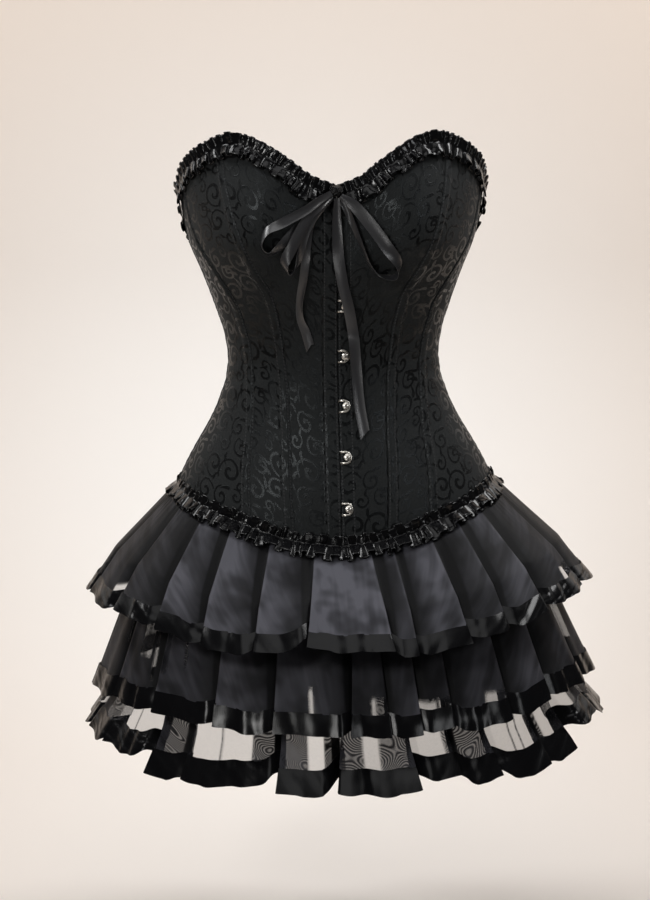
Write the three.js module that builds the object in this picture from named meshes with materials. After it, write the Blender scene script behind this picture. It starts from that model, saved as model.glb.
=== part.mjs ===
// A strapless corset dress: a boned bodice in twelve panels, a frill along its top and its hem,
// a bow at the neckline, a fastened busk, and a skirt of three gathered tiers with ribbon hems.
// Millimetres, +Z up. The origin is the middle of the waist, the front faces -Y, and "left" and
// "right" are as seen from the front. Angles are degrees round the body: 0 front, 90 side, 180 back.
import * as THREE from 'three';

// Walls and the gap that sewn pieces keep
const SEAM_GAP = 0.3;
const BROCADE_WALL = 2;
const ORGANZA_WALL = 1;
const BAND_WALL = 1.4;
const FRILL_WALL = 1;
const RIBBON_WALL = 1;

// Boned channels beside the seams, and the busk's casing on the left front
const CHANNEL_START = 1.2;
const CHANNEL_SLOPE = 1.5;
const CHANNEL = { end: 9.5, height: 0.8, edge: 0 };
const CASING = { end: 14, height: 2.4, edge: 2.4 };
const FLAT_FRONT = { end: 14, height: 0, edge: 0 };

// Frills: gathered strips with a wave on both edges
const FRILL_ABOVE = 9;
const FRILL_BELOW = 12;
const FRILL_SEAT = 2.4;
const FRILL_WAVE_ABOVE = 3.2;
const FRILL_WAVE_BELOW = 4.4;
const FRILL_WAVES_A_SIDE = 32;
const FRILL_LINE_BELOW_EDGE = 1.5;
const FRILL_CALM = 45;
const FRILL_CALMEST = 0.2;
const FRILL_UNEVEN = { place: 0.22, placeBeat: 2.3, height: 0.2, heightBeat: 1.7 };

// Skirt: ribbon bands, the lift of the hem in a fold, and the narrowest face in degrees
const CLOSEST_COLUMNS = 1.2;
const BAND_WIDTH = 22;
const BAND_GAP = 0.5;
const VALLEY_RISE = 0.32;

// Busk
const LOOP_REACH = 12;
const LOOP_HEIGHT = 13.5;
const LOOP_WIRE = 2.2;
const LOOP_THICKNESS = 1.2;
const LOOP_LIFT = 1;
const STUD_OFFSET = 7.2;
const STUD_HEAD_RADIUS = 3.5;
const STUD_HEAD_HEIGHT = 1.8;
const STUD_STEM_RADIUS = 1.4;
const STUD_LIFT = 0.6;
const BUSK_HEIGHTS = [60, 9, -41, -91, -141];

// The bodice's horizontal sections: half width, and depth to the front and the back
const SECTIONS = [
  { z: -200, side: 200, front: 123, back: 122 },
  { z: -185, side: 194, front: 122, back: 121 },
  { z: -155, side: 180, front: 118, back: 117 },
  { z: -127, side: 166, front: 112, back: 112 },
  { z: -92, side: 147, front: 102, back: 102 },
  { z: -58, side: 127.3, front: 91, back: 89 },
  { z: -24, side: 113.4, front: 84, back: 79 },
  { z: 0, side: 109.5, front: 82, back: 76 },
  { z: 26, side: 112, front: 85, back: 77 },
  { z: 59, side: 122.2, front: 92, back: 81 },
  { z: 92, side: 134.3, front: 100, back: 86 },
  { z: 125, side: 147.5, front: 104, back: 88 },
  { z: 170, side: 156, front: 106, back: 88 },
  { z: 205, side: 158, front: 102, back: 86 },
  { z: 240, side: 158, front: 98, back: 82 },
];

// The cups stand forward of those sections as soft rounds
const CUP = { depth: 34, across: 87, z: 126, spread: 50, below: 45, above: 75, fade: 0.5 };

// Height of the bodice's top edge and of its hem, round the body
const TOP_EDGE = [
  { deg: 0, z: 169 },
  { deg: 10, z: 179 },
  { deg: 20, z: 199 },
  { deg: 32, z: 217 },
  { deg: 42, z: 220.5 },
  { deg: 55, z: 211 },
  { deg: 70, z: 196 },
  { deg: 80, z: 180 },
  { deg: 90, z: 160 },
  { deg: 100, z: 141 },
  { deg: 112, z: 130 },
  { deg: 130, z: 126 },
  { deg: 180, z: 125 },
];
const HEM_EDGE = [
  { deg: 0, z: -177 },
  { deg: 15, z: -171 },
  { deg: 40, z: -150 },
  { deg: 65, z: -134 },
  { deg: 90, z: -127 },
  { deg: 120, z: -130 },
  { deg: 150, z: -138 },
  { deg: 180, z: -142 },
];

// Seams of the bodice, as angles up the height
const CUP_SEAM = [
  { z: -200, deg: 13.5 },
  { z: -156, deg: 15 },
  { z: -81, deg: 20 },
  { z: -38, deg: 24.5 },
  { z: 7, deg: 28.4 },
  { z: 42, deg: 29.2 },
  { z: 71, deg: 30.5 },
  { z: 96, deg: 35.5 },
  { z: 121, deg: 38.6 },
  { z: 160, deg: 41.8 },
  { z: 230, deg: 45 },
];
const SIDE_FRONT_SEAM = [
  { z: -200, deg: 28 },
  { z: -144, deg: 31 },
  { z: -109, deg: 35 },
  { z: -69, deg: 39.8 },
  { z: -15, deg: 49.2 },
  { z: 36, deg: 52.3 },
  { z: 64, deg: 54 },
  { z: 95, deg: 62 },
  { z: 131, deg: 69.5 },
  { z: 230, deg: 77 },
];
const straightSeam = (deg) => [{ z: -200, deg }, { z: 230, deg }];
const SEAM_LINES = [straightSeam(0), CUP_SEAM, SIDE_FRONT_SEAM, straightSeam(90), straightSeam(124),
  straightSeam(153), straightSeam(180)];

// Panels from the centre front to the centre back, each between two of those seams
const PANELS = [
  { name: 'front_centre', spans: 4 },
  { name: 'cup_panel', spans: 4 },
  { name: 'side_front', spans: 4 },
  { name: 'side_back', spans: 3 },
  { name: 'back_panel', spans: 3 },
  { name: 'centre_back', spans: 3 },
];
const PANEL_ROWS = 14;

// A panel's seams lean, so a point's height and angle are settled in turns
const HEIGHT_STEPS = 30;

// Skirt tiers: where each hem reaches, how far it hangs to the right, and how its side bends out
const TIERS = [
  { name: 'tier_1', inset: 0, side: 264, front: 225, back: 212, lean: 3, sideZ: -242, frontZ: -264,
    backZ: -250, kneeDown: 0.6, kneeOut: 0.69, growth: 1.1, rows: 2, hiddenDepth: 13 },
  { name: 'tier_2', inset: 1.3, side: 264, front: 225, back: 212, lean: 6, sideZ: -339, frontZ: -343,
    backZ: -340, kneeDown: 0.6, kneeOut: 0.65, growth: 1.1, rows: 2, hiddenDepth: 10 },
  { name: 'tier_3', inset: 2.6, side: 273, front: 228, back: 218, lean: 7, sideZ: -377, frontZ: -398,
    backZ: -384, kneeDown: 0.84, kneeOut: 0.73, growth: 2, rows: 3, hiddenDepth: 16 },
];

// Folds that show on each tier's front: the valley's angle, its half width and its depth
const FRONT_FOLDS = {
  tier_1: [
    { deg: -60, width: 4, depth: 15 },
    { deg: -44.7, width: 3, depth: 15 },
    { deg: -32.3, width: 3, depth: 13 },
    { deg: -19.5, width: 2.5, depth: 12 },
    { deg: -8.2, width: 2.6, depth: 19 },
    { deg: 8, width: 2.5, depth: 12 },
    { deg: 13.4, width: 2, depth: 11 },
    { deg: 24.9, width: 3.5, depth: 14 },
    { deg: 35, width: 3, depth: 12 },
    { deg: 47.5, width: 4, depth: 15 },
  ],
  tier_2: [
    { deg: -63.4, width: 4, depth: 11 },
    { deg: -47, width: 3.5, depth: 10 },
    { deg: -30, width: 3, depth: 12 },
    { deg: -16.3, width: 3, depth: 10 },
    { deg: 0, width: 2.5, depth: 14 },
    { deg: 6.7, width: 2, depth: 8 },
    { deg: 13.4, width: 2.2, depth: 10 },
    { deg: 20.6, width: 2.5, depth: 9 },
    { deg: 34.6, width: 3.5, depth: 12 },
    { deg: 48, width: 3.5, depth: 10 },
  ],
  tier_3: [
    { deg: -65, width: 4, depth: 16 },
    { deg: -48, width: 3, depth: 20 },
    { deg: -38, width: 3, depth: 6 },
    { deg: -15.7, width: 2.5, depth: 22 },
    { deg: -2.7, width: 3.2, depth: 40 },
    { deg: 12.1, width: 2.5, depth: 22 },
    { deg: 21, width: 2.5, depth: 7 },
    { deg: 30.6, width: 3, depth: 14 },
    { deg: 45, width: 3, depth: 7 },
    { deg: 56, width: 3.5, depth: 24 },
  ],
};

// How far each tier's hem hangs below its even line, by angle: its faces end at uneven heights
const HEM_DROPS = {
  tier_1: [
    [-180, 0], [-100, -4], [-82, -6], [-60, -4], [-52.5, -9], [-45, -4], [-38, 0], [-33, 5],
    [-21, 1], [-14, -3], [-9.2, -12], [-7.6, -8], [-3, -6], [6, -3], [8, 2], [13, 5], [21, 2],
    [26, -2], [35, -6], [48, -10], [60, -13], [72, -15], [90, -8], [110, 0], [180, 0],
  ],
  tier_2: [
    [-180, 0], [-90, 0], [-70, -4], [-51, -8], [-37, -4], [-22, -2], [-6, -2], [0, -1], [5, 3],
    [13, 2], [20, -1], [24, 4], [29, 1], [35, -1], [45, -7], [58, -12], [70, -14], [90, -6],
    [110, 0], [180, 0],
  ],
  tier_3: [
    [-180, 0], [-100, 0], [-74, 4], [-59, 0], [-49, -8], [-47, 12], [-34, 8], [-24, -3],
    [-18, -8], [-16.3, -12], [-15, 4], [-5, 2], [0, 1], [6, 4], [11, 2], [13, -5], [16, -7],
    [21, -3], [25, 5], [30, 4], [31, 2], [36, 8], [46, 11], [55, 10], [57, -8], [62, -14],
    [75, -6], [100, 0], [180, 0],
  ],
};

// Hidden folds are as uneven as the shown ones: in place, as a share of their step, and in depth
const HIDDEN = { count: 14, width: 4, placeSway: 0.16, placeBeat: 2.1, depthSway: 0.18, depthBeat: 1.9 };

// The bow: places on the bodice's front, height above the cloth, ribbon width, and its twist
const KNOT = { x: -1, z: 172, lift: 9.5, across: 7, tall: 6, deep: 5.5, gap: 0.8 };
function atKnot(direction, lift, gap = KNOT.gap) {
  const turn = (direction * Math.PI) / 180;
  const reach = 1 / Math.hypot(Math.cos(turn) / KNOT.across, Math.sin(turn) / KNOT.tall);
  const away = reach * Math.sqrt(1 - ((lift - KNOT.lift) / KNOT.deep) ** 2) + gap;
  const x = KNOT.x + away * Math.cos(turn);
  const z = KNOT.z + away * Math.sin(turn);
  return { x, z, lift, width: 4.5, twist: 0 };
}
const BOW = {
  bow_loop_left_outer: [
    atKnot(198, 13),
    { x: -20, z: 163, lift: 12, width: 6, twist: 0 },
    { x: -32, z: 155, lift: 10.5, width: 7, twist: 5 },
    { x: -55, z: 143, lift: 8, width: 8, twist: 15 },
    { x: -70, z: 135, lift: 7, width: 8, twist: 55 },
    { x: -74, z: 122, lift: 6, width: 8, twist: 85 },
    { x: -65, z: 115, lift: 4.5, width: 8, twist: 40 },
    { x: -48, z: 130, lift: 2.2, width: 7, twist: 0 },
    { x: -32, z: 147, lift: 2.2, width: 6, twist: 0 },
    { x: -19, z: 157.5, lift: 5.7, width: 5, twist: 0 },
    atKnot(216, 6.6),
  ],
  bow_loop_left_lower: [
    atKnot(212, 11.4),
    { x: -19, z: 158, lift: 10.2, width: 6, twist: 0 },
    { x: -32, z: 146, lift: 8.2, width: 8, twist: 5 },
    { x: -46, z: 122, lift: 7.5, width: 9, twist: 10 },
    { x: -54, z: 107, lift: 7.5, width: 9, twist: 50 },
    { x: -49, z: 97, lift: 6.5, width: 8, twist: 85 },
    { x: -42, z: 101, lift: 5.5, width: 8, twist: 60 },
    { x: -37, z: 118, lift: 4.6, width: 7, twist: 15 },
    { x: -32, z: 134, lift: 5.6, width: 6, twist: 0 },
    { x: -19, z: 156, lift: 8.7, width: 5, twist: 0 },
    atKnot(218, 9.8),
  ],
  bow_tail_left: [
    atKnot(230, 8.2),
    { x: -18, z: 155, lift: 7.2, width: 6, twist: 0 },
    { x: -27, z: 142, lift: 3.8, width: 7, twist: 0 },
    { x: -30.6, z: 122, lift: 2.4, width: 7, twist: 10 },
    { x: -33.3, z: 93, lift: 2.8, width: 7, twist: 25 },
    { x: -36.8, z: 67, lift: 3.2, width: 7, twist: 35 },
    { x: -36.4, z: 49, lift: 3, width: 7, twist: 20 },
    { x: -31.3, z: 34, lift: 2.4, width: 8, twist: 5 },
    { x: -27.2, z: 19, lift: 2.2, width: 8, twist: 0 },
  ],
  bow_loop_right: [
    atKnot(320, 12.5, 1.6),
    { x: 18, z: 158, lift: 11, width: 9, twist: 0 },
    { x: 36, z: 138, lift: 9, width: 10, twist: -8 },
    { x: 50, z: 119, lift: 7.5, width: 10, twist: -20 },
    { x: 60, z: 104, lift: 7, width: 9, twist: -60 },
    { x: 57, z: 92, lift: 6.5, width: 8, twist: -88 },
    { x: 43, z: 91, lift: 6, width: 8, twist: -75 },
    { x: 32, z: 101, lift: 5.5, width: 7, twist: -60 },
    { x: 24, z: 120, lift: 5, width: 6, twist: -45 },
    { x: 15.5, z: 142, lift: 5.5, width: 5.5, twist: -25 },
    { x: 9, z: 156, lift: 7.4, width: 5, twist: 0 },
    atKnot(302, 8),
  ],
  bow_tail_right: [
    atKnot(270, 10.6),
    { x: -1.5, z: 148, lift: 7.5, width: 7, twist: 0 },
    { x: -1, z: 133, lift: 6.5, width: 8, twist: 0 },
    { x: 1, z: 112, lift: 6, width: 9, twist: 0 },
    { x: 5, z: 84, lift: 6.5, width: 9, twist: 0 },
    { x: 10, z: 62, lift: 7, width: 9, twist: 0 },
    { x: 15, z: 33, lift: 4, width: 9, twist: 10 },
    { x: 16.5, z: 15, lift: 6, width: 9, twist: 0 },
    { x: 20, z: -36, lift: 4, width: 9, twist: 0 },
    { x: 25, z: -70, lift: 4, width: 9, twist: 0 },
  ],
};

const MATERIALS = {
  brocade: { color: 0x16161a, roughness: 0.62, metalness: 0 },
  satin: { color: 0x0c0c0f, roughness: 0.32, metalness: 0 },
  organza: { color: 0x2c2d33, roughness: 0.5, metalness: 0, transparent: true, opacity: 0.7 },
  metal: { color: 0xc2bdb2, roughness: 0.25, metalness: 1 },
};

const radians = THREE.MathUtils.degToRad;
const lerp = THREE.MathUtils.lerp;
const vector = (x, y, z) => new THREE.Vector3(x, y, z);
const moved = (point, direction, distance) => point.clone().addScaledVector(direction, distance);

// A smooth curve through one column of a table
function curve(rows, across, column) {
  const slope = (i) => {
    const before = rows[Math.max(i - 1, 0)];
    const after = rows[Math.min(i + 1, rows.length - 1)];
    return (after[column] - before[column]) / (after[across] - before[across]);
  };
  return (at) => {
    let i = 0;
    while (i < rows.length - 2 && at > rows[i + 1][across]) i += 1;
    const span = rows[i + 1][across] - rows[i][across];
    const t = THREE.MathUtils.clamp((at - rows[i][across]) / span, 0, 1);
    const rise = rows[i + 1][column] - rows[i][column];
    const ease = t * t * (3 - 2 * t);
    const start = t * (1 - t) * (1 - t) * slope(i);
    const end = t * t * (t - 1) * slope(i + 1);
    return rows[i][column] + rise * ease + span * (start + end);
  };
}

const sideAt = curve(SECTIONS, 'z', 'side');
const frontAt = curve(SECTIONS, 'z', 'front');
const backAt = curve(SECTIONS, 'z', 'back');
const topCurve = curve(TOP_EDGE, 'deg', 'z');
const hemCurve = curve(HEM_EDGE, 'deg', 'z');
const seams = SEAM_LINES.map((line) => curve(line, 'z', 'deg'));

// An angle brought between 0 and 180, because both sides are alike
function folded(deg) {
  const turn = Math.abs(deg) % 360;
  return turn > 180 ? 360 - turn : turn;
}

const topAt = (deg) => topCurve(folded(deg));
const hemAt = (deg) => hemCurve(folded(deg));

// The outer face of the bodice's cloth
function torso(deg, z) {
  const turn = radians(deg);
  const x = sideAt(z) * Math.sin(turn);
  const facing = Math.cos(turn);
  const depth = facing > 0 ? frontAt(z) : backAt(z);
  const sideways = (Math.abs(x) - CUP.across) / CUP.spread;
  const upward = (z - CUP.z) / (z > CUP.z ? CUP.above : CUP.below);
  const forward = THREE.MathUtils.smoothstep(facing, 0, CUP.fade);
  const cup = CUP.depth * Math.exp(-sideways * sideways - upward * upward) * forward;
  return vector(x, -depth * facing - cup, z);
}

// The direction out of a surface given as a function of two numbers
function facingOf(surface, u, v, du, dv) {
  const across = surface(u + du, v).sub(surface(u - du, v));
  const along = surface(u, v + dv).sub(surface(u, v - dv));
  return across.cross(along).normalize();
}

const torsoNormal = (deg, z) => facingOf(torso, deg, z, 0.5, 0.5);

// Millimetres round the body for one degree
const arcRate = (deg, z) => torso(deg + 0.5, z).distanceTo(torso(deg - 0.5, z));

// A point on the bodice's front, lifted off the cloth
function onFront(x, z, lift) {
  const deg = THREE.MathUtils.radToDeg(Math.asin(x / sideAt(z)));
  return moved(torso(deg, z), torsoNormal(deg, z), lift);
}

// A closed mesh from rows of outer points and the inner points behind them
function wall(outer, inner) {
  const rows = outer.length;
  const columns = outer[0].length;
  const end = columns - 1;
  const points = [...outer.flat(), ...inner.flat()];
  const index = [];
  const out = (row, column) => row * columns + column;
  const back = (row, column) => rows * columns + out(row, column);
  const quad = (a, b, c, d) => index.push(a, b, c, a, c, d);
  for (let i = 0; i < rows - 1; i += 1) {
    for (let j = 0; j < columns - 1; j += 1) {
      quad(out(i, j), out(i, j + 1), out(i + 1, j + 1), out(i + 1, j));
      index.push(back(i, j), back(i + 1, j + 1), back(i, j + 1));
      index.push(back(i, j), back(i + 1, j), back(i + 1, j + 1));
    }
    quad(out(i, 0), out(i + 1, 0), back(i + 1, 0), back(i, 0));
    quad(out(i + 1, end), out(i, end), back(i, end), back(i + 1, end));
  }
  for (let j = 0; j < columns - 1; j += 1) {
    quad(out(0, j + 1), out(0, j), back(0, j), back(0, j + 1));
    quad(out(rows - 1, j), out(rows - 1, j + 1), back(rows - 1, j + 1), back(rows - 1, j));
  }
  const geometry = new THREE.BufferGeometry().setFromPoints(points);
  geometry.setIndex(index);
  geometry.computeVertexNormals();
  return geometry;
}

// The same wall on the other side of the body
function mirrored(grid) {
  return grid.map((row) => row.map((p) => vector(-p.x, p.y, p.z)).reverse());
}

const group = new THREE.Group();

function addPiece(name, geometry, finish) {
  const mesh = new THREE.Mesh(geometry, new THREE.MeshStandardMaterial(MATERIALS[finish]));
  mesh.name = name;
  group.add(mesh);
  return mesh;
}

function addPair(name, outer, inner, finish) {
  addPiece(`${name}_right`, wall(outer, inner), finish);
  addPiece(`${name}_left`, wall(mirrored(outer), mirrored(inner)), finish);
}

// Columns of a panel: each one's angle at a height, and how far its outer face is raised
function panelColumns(index, spans, ridge) {
  const near = seams[index];
  const far = seams[index + 1];
  const from = (distance) => (z) => near(z) + distance / arcRate(near(z), z);
  const last = (z) => far(z) - SEAM_GAP / 2 / arcRate(far(z), z);
  const flat = from(ridge.end + CHANNEL_SLOPE);
  const columns = [
    { at: from(SEAM_GAP / 2), raise: ridge.edge },
    { at: from(CHANNEL_START), raise: ridge.height },
    { at: from(ridge.end), raise: ridge.height },
  ];
  for (let i = 0; i < spans; i += 1) {
    const share = i / (spans - 1);
    columns.push({ at: (z) => lerp(flat(z), last(z), share), raise: 0 });
  }
  return columns;
}

// One panel's outer and inner points, from its hem to its top edge
function panelGrids(index, panel, ridge) {
  const outer = [];
  const inner = [];
  const columns = panelColumns(index, panel.spans, ridge);
  for (let row = 0; row < PANEL_ROWS; row += 1) {
    const share = row / (PANEL_ROWS - 1);
    const places = columns.map((column) => {
      let z = 0;
      for (let step = 0; step < HEIGHT_STEPS; step += 1) {
        z = lerp(hemAt(column.at(z)), topAt(column.at(z)), share);
      }
      const underFrill = row === 0 || row === PANEL_ROWS - 1;
      return { deg: column.at(z), z, raise: underFrill ? 0 : column.raise };
    });
    outer.push(places.map((p) => moved(torso(p.deg, p.z), torsoNormal(p.deg, p.z), p.raise)));
    inner.push(places.map((p) => moved(torso(p.deg, p.z), torsoNormal(p.deg, p.z), -BROCADE_WALL)));
  }
  return [outer, inner];
}

function addPanels() {
  PANELS.forEach((panel, index) => {
    const atFront = index === 0;
    const right = panelGrids(index, panel, atFront ? FLAT_FRONT : CHANNEL);
    const left = atFront ? panelGrids(index, panel, CASING) : right;
    addPiece(`${panel.name}_right`, wall(...right), 'brocade');
    addPiece(`${panel.name}_left`, wall(...left.map(mirrored)), 'brocade');
  });
}

// Every fold of a tier, the hidden ones spread unevenly round its sides and back
function tierFolds(tier) {
  const shown = FRONT_FOLDS[tier.name];
  const first = shown[0].deg + 360;
  const last = shown[shown.length - 1].deg;
  const step = (first - last) / (HIDDEN.count + 1);
  const folds = [...shown];
  for (let i = 1; i <= HIDDEN.count; i += 1) {
    const uneven = HIDDEN.placeSway * Math.sin(HIDDEN.placeBeat * i + tier.inset);
    const share = 1 - HIDDEN.depthSway * (1 - Math.cos(HIDDEN.depthBeat * i + tier.inset));
    const depth = tier.hiddenDepth * share;
    folds.push({ deg: last + (i + uneven) * step, width: HIDDEN.width, depth });
  }
  return folds;
}

// How far a tier's cloth dips inward at an angle
function foldDip(folds, deg) {
  let dip = 0;
  for (const fold of folds) {
    const away = Math.abs(((deg - fold.deg + 540) % 360) - 180) / fold.width;
    if (away < 1) dip = Math.max(dip, (fold.depth * (1 + Math.cos(Math.PI * away))) / 2);
  }
  return dip;
}

// Front, side and back values blended round the body
function roundValue(deg, front, side, back) {
  const facing = Math.cos(radians(deg));
  return lerp(side, facing > 0 ? front : back, facing * facing);
}

// The unfolded face of a tier, from the bodice's hem at 0 to its own hem at 1
function tierFace(tier, deg, down) {
  const turn = radians(deg);
  const depth = Math.cos(turn) > 0 ? tier.front : tier.back;
  const start = moved(torso(deg, hemAt(deg) - SEAM_GAP), torsoNormal(deg, hemAt(deg)), -tier.inset);
  const hemZ = roundValue(deg, tier.frontZ, tier.sideZ, tier.backZ);
  const beyond = (down - tier.kneeDown) / (1 - tier.kneeDown);
  const out = down < tier.kneeDown
    ? (down / tier.kneeDown) * tier.kneeOut
    : lerp(tier.kneeOut, 1, beyond);
  return vector(
    lerp(start.x, tier.side * Math.sin(turn) + tier.lean, out),
    lerp(start.y, -depth * Math.cos(turn), out),
    lerp(start.z, hemZ, down),
  );
}

const tierLength = (tier, deg) => tierFace(tier, deg, 0).distanceTo(tierFace(tier, deg, 1));

// How far a tier's hem hangs below its even line at an angle
function hemDrop(tier, deg) {
  const turn = ((deg + 540) % 360) - 180;
  const table = HEM_DROPS[tier.name];
  const next = Math.max(table.findIndex(([at]) => at >= turn), 1);
  const [[from, before], [to, after]] = [table[next - 1], table[next]];
  return lerp(before, after, (turn - from) / (to - from));
}

// The folded face of a tier
function tierPoint(tier, folds, deg, down) {
  const point = tierFace(tier, deg, down);
  const depth = Math.cos(radians(deg)) > 0 ? tier.front : tier.back;
  const inward = vector(-Math.sin(radians(deg)) / tier.side, Math.cos(radians(deg)) / depth, 0);
  const grown = down ** tier.growth;
  const dip = foldDip(folds, deg) * grown;
  point.addScaledVector(inward.normalize(), dip);
  point.z += dip * VALLEY_RISE - hemDrop(tier, deg) * grown;
  return point;
}

// Inner points of a folded wall, an even thickness behind the outer ones
function wallBehind(outer, thickness, closed) {
  const columns = outer[0].length;
  return outer.map((row, i) => row.map((point, j) => {
    const below = outer[Math.max(i - 1, 0)][j];
    const above = outer[Math.min(i + 1, outer.length - 1)][j];
    const along = above.clone().sub(below);
    const before = closed ? row[(j + columns - 1) % columns] : row[Math.max(j - 1, 0)];
    const after = closed ? row[(j + 1) % columns] : row[Math.min(j + 1, columns - 1)];
    const normals = [point.clone().sub(before), after.clone().sub(point)]
      .filter((step) => step.lengthSq() > 0)
      .map((step) => step.cross(along).normalize());
    const mean = normals.reduce((sum, n) => sum.add(n), vector(0, 0, 0)).normalize();
    return moved(point, mean, -thickness / Math.max(mean.dot(normals[0]), 0.5));
  }));
}

// The angles where a tier's wall has its corners: each valley, its shoulders and the crest between
function tierAngles(folds) {
  const sorted = [...folds].sort((a, b) => a.deg - b.deg);
  const angles = [-90, 90];
  sorted.forEach((fold, i) => {
    const next = sorted[(i + 1) % sorted.length];
    const nextDeg = next.deg + (i === sorted.length - 1 ? 360 : 0);
    const left = fold.deg + fold.width;
    const right = nextDeg - next.width;
    angles.push(fold.deg, left);
    if (right - left > CLOSEST_COLUMNS) angles.push((left + right) / 2, right);
  });
  const wrapped = angles.map((deg) => ((deg + 90 + 360) % 360) - 90);
  wrapped.sort((a, b) => a - b);
  return wrapped.filter((deg, i) => i === 0 || deg - wrapped[i - 1] > CLOSEST_COLUMNS);
}

// Cuts a ring of columns into a front and a back half, a seam's gap apart at the sides
function halves(ring, angles) {
  const cut = angles.findIndex((deg) => deg >= 89.5);
  const close = (row) => {
    const shift = (point, towards) => {
      const step = towards.clone().sub(point).setLength(SEAM_GAP / 2);
      return point.clone().add(step);
    };
    const last = row.length - 1;
    return [shift(row[0], row[1]), ...row.slice(1, last), shift(row[last], row[last - 1])];
  };
  const front = ring.map((row) => close(row.slice(0, cut + 1)));
  const back = ring.map((row) => close([...row.slice(cut), row[0]]));
  return { front, back };
}

function addTier(tier) {
  const folds = tierFolds(tier);
  const angles = tierAngles(folds);
  const bandShare = (deg) => BAND_WIDTH / tierLength(tier, deg);
  const ringAt = (downAt) => angles.map((deg) => tierPoint(tier, folds, deg, downAt(deg)));
  const outer = [ringAt(() => 1)];
  for (let i = 0; i <= tier.rows; i += 1) {
    const share = 1 - i / tier.rows;
    outer.push(ringAt((deg) => (1 - bandShare(deg)) * share));
  }
  const organza = [outer.slice(1), wallBehind(outer, ORGANZA_WALL, true).slice(1)];
  const top = tier.rows;
  organza[1][top] = organza[0][top].map((point, j) => (
    moved(point, torsoNormal(angles[j], hemAt(angles[j])), -ORGANZA_WALL)));
  const loweredTop = (rows) => [rows[0], rows[1].map((point, j) => (
    point.clone().add(rows[0][j].clone().sub(point).setLength(BAND_GAP))))];
  const band = [loweredTop(outer), loweredTop(wallBehind(outer, BAND_WALL, true))];
  const [organzaOuter, organzaInner] = organza.map((grid) => halves(grid, angles));
  const [bandOuter, bandInner] = band.map((grid) => halves(grid, angles));
  for (const half of ['front', 'back']) {
    addPiece(`${tier.name}_${half}`, wall(organzaOuter[half], organzaInner[half]), 'organza');
    addPiece(`${tier.name}_band_${half}`, wall(bandOuter[half], bandInner[half]), 'satin');
  }
}

// Angles spaced evenly by length along an edge, from the centre front to the centre back
function evenAngles(edgePoint, count) {
  const fine = 4 * 180;
  const lengths = [0];
  for (let i = 1; i <= fine; i += 1) {
    const step = edgePoint((180 * i) / fine).distanceTo(edgePoint((180 * (i - 1)) / fine));
    lengths.push(lengths[i - 1] + step);
  }
  const total = lengths[fine];
  const places = [];
  for (let i = 0; i <= count; i += 1) {
    const sway = FRILL_UNEVEN.place * Math.sin(FRILL_UNEVEN.placeBeat * i);
    const target = (total * (i > 0 && i < count ? i + sway : i)) / count;
    const found = lengths.findIndex((length) => length >= target || length === total);
    places.push({ deg: (180 * found) / fine, length: target, fromEnd: total - target });
  }
  return places;
}

// One side of a frill: its lower edge, gather line and upper edge
function frillGrid(places, lowerPoint, linePoint, upperPoint) {
  const grid = [[], [], []];
  places.forEach((place, i) => {
    const calm = THREE.MathUtils.smoothstep(Math.min(place.length, place.fromEnd), 0, FRILL_CALM);
    const height = 1 - FRILL_UNEVEN.height * (1 - Math.sin(FRILL_UNEVEN.heightBeat * i));
    const crest = i % 2 === 1 ? lerp(FRILL_CALMEST, 1, calm) * height : 0;
    grid[0].push(lowerPoint(place.deg, FRILL_SEAT + FRILL_WAVE_BELOW * crest));
    grid[1].push(linePoint(place.deg, FRILL_SEAT));
    grid[2].push(upperPoint(place.deg, FRILL_SEAT + FRILL_WAVE_ABOVE * crest));
  });
  for (const row of grid) {
    row[0].x = SEAM_GAP / 2;
    row[row.length - 1].x = SEAM_GAP / 2;
  }
  return grid;
}

// A point off an edge on the bodice, across the edge by a distance and lifted off the cloth
function besideEdge(edgeAt, deg, across, lift) {
  const rate = arcRate(deg, edgeAt(deg));
  const slope = (edgeAt(deg + 0.5) - edgeAt(deg - 0.5)) / rate;
  const lean = Math.hypot(1, slope);
  const z = edgeAt(deg) + across / lean;
  const turned = deg - (across * slope) / lean / rate;
  return moved(torso(turned, z), torsoNormal(turned, z), lift);
}

function addTopFrill() {
  const edge = (deg) => torso(deg, topAt(deg));
  const places = evenAngles(edge, 2 * FRILL_WAVES_A_SIDE);
  const outer = frillGrid(
    places,
    (deg, lift) => besideEdge(topAt, deg, -FRILL_BELOW, lift),
    (deg, lift) => besideEdge(topAt, deg, -FRILL_LINE_BELOW_EDGE, lift),
    (deg, lift) => besideEdge(topAt, deg, FRILL_ABOVE, lift),
  );
  addPair('top_frill', outer, wallBehind(outer, FRILL_WALL, false), 'satin');
}

function addHemFrill() {
  const skirt = TIERS[0];
  const edge = (deg) => torso(deg, hemAt(deg));
  const places = evenAngles(edge, 2 * FRILL_WAVES_A_SIDE);
  const skirtFace = (deg, down) => tierFace(skirt, deg, 1 - down);
  const overSkirt = (deg, lift) => {
    const down = FRILL_BELOW / tierLength(skirt, deg);
    return moved(tierFace(skirt, deg, down), facingOf(skirtFace, deg, 1 - down, 0.5, 0.02), lift);
  };
  const outer = frillGrid(
    places,
    overSkirt,
    (deg, lift) => besideEdge(hemAt, deg, 0, lift),
    (deg, lift) => besideEdge(hemAt, deg, FRILL_ABOVE, lift),
  );
  addPair('hem_frill', outer, wallBehind(outer, FRILL_WALL, false), 'satin');
}

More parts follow.
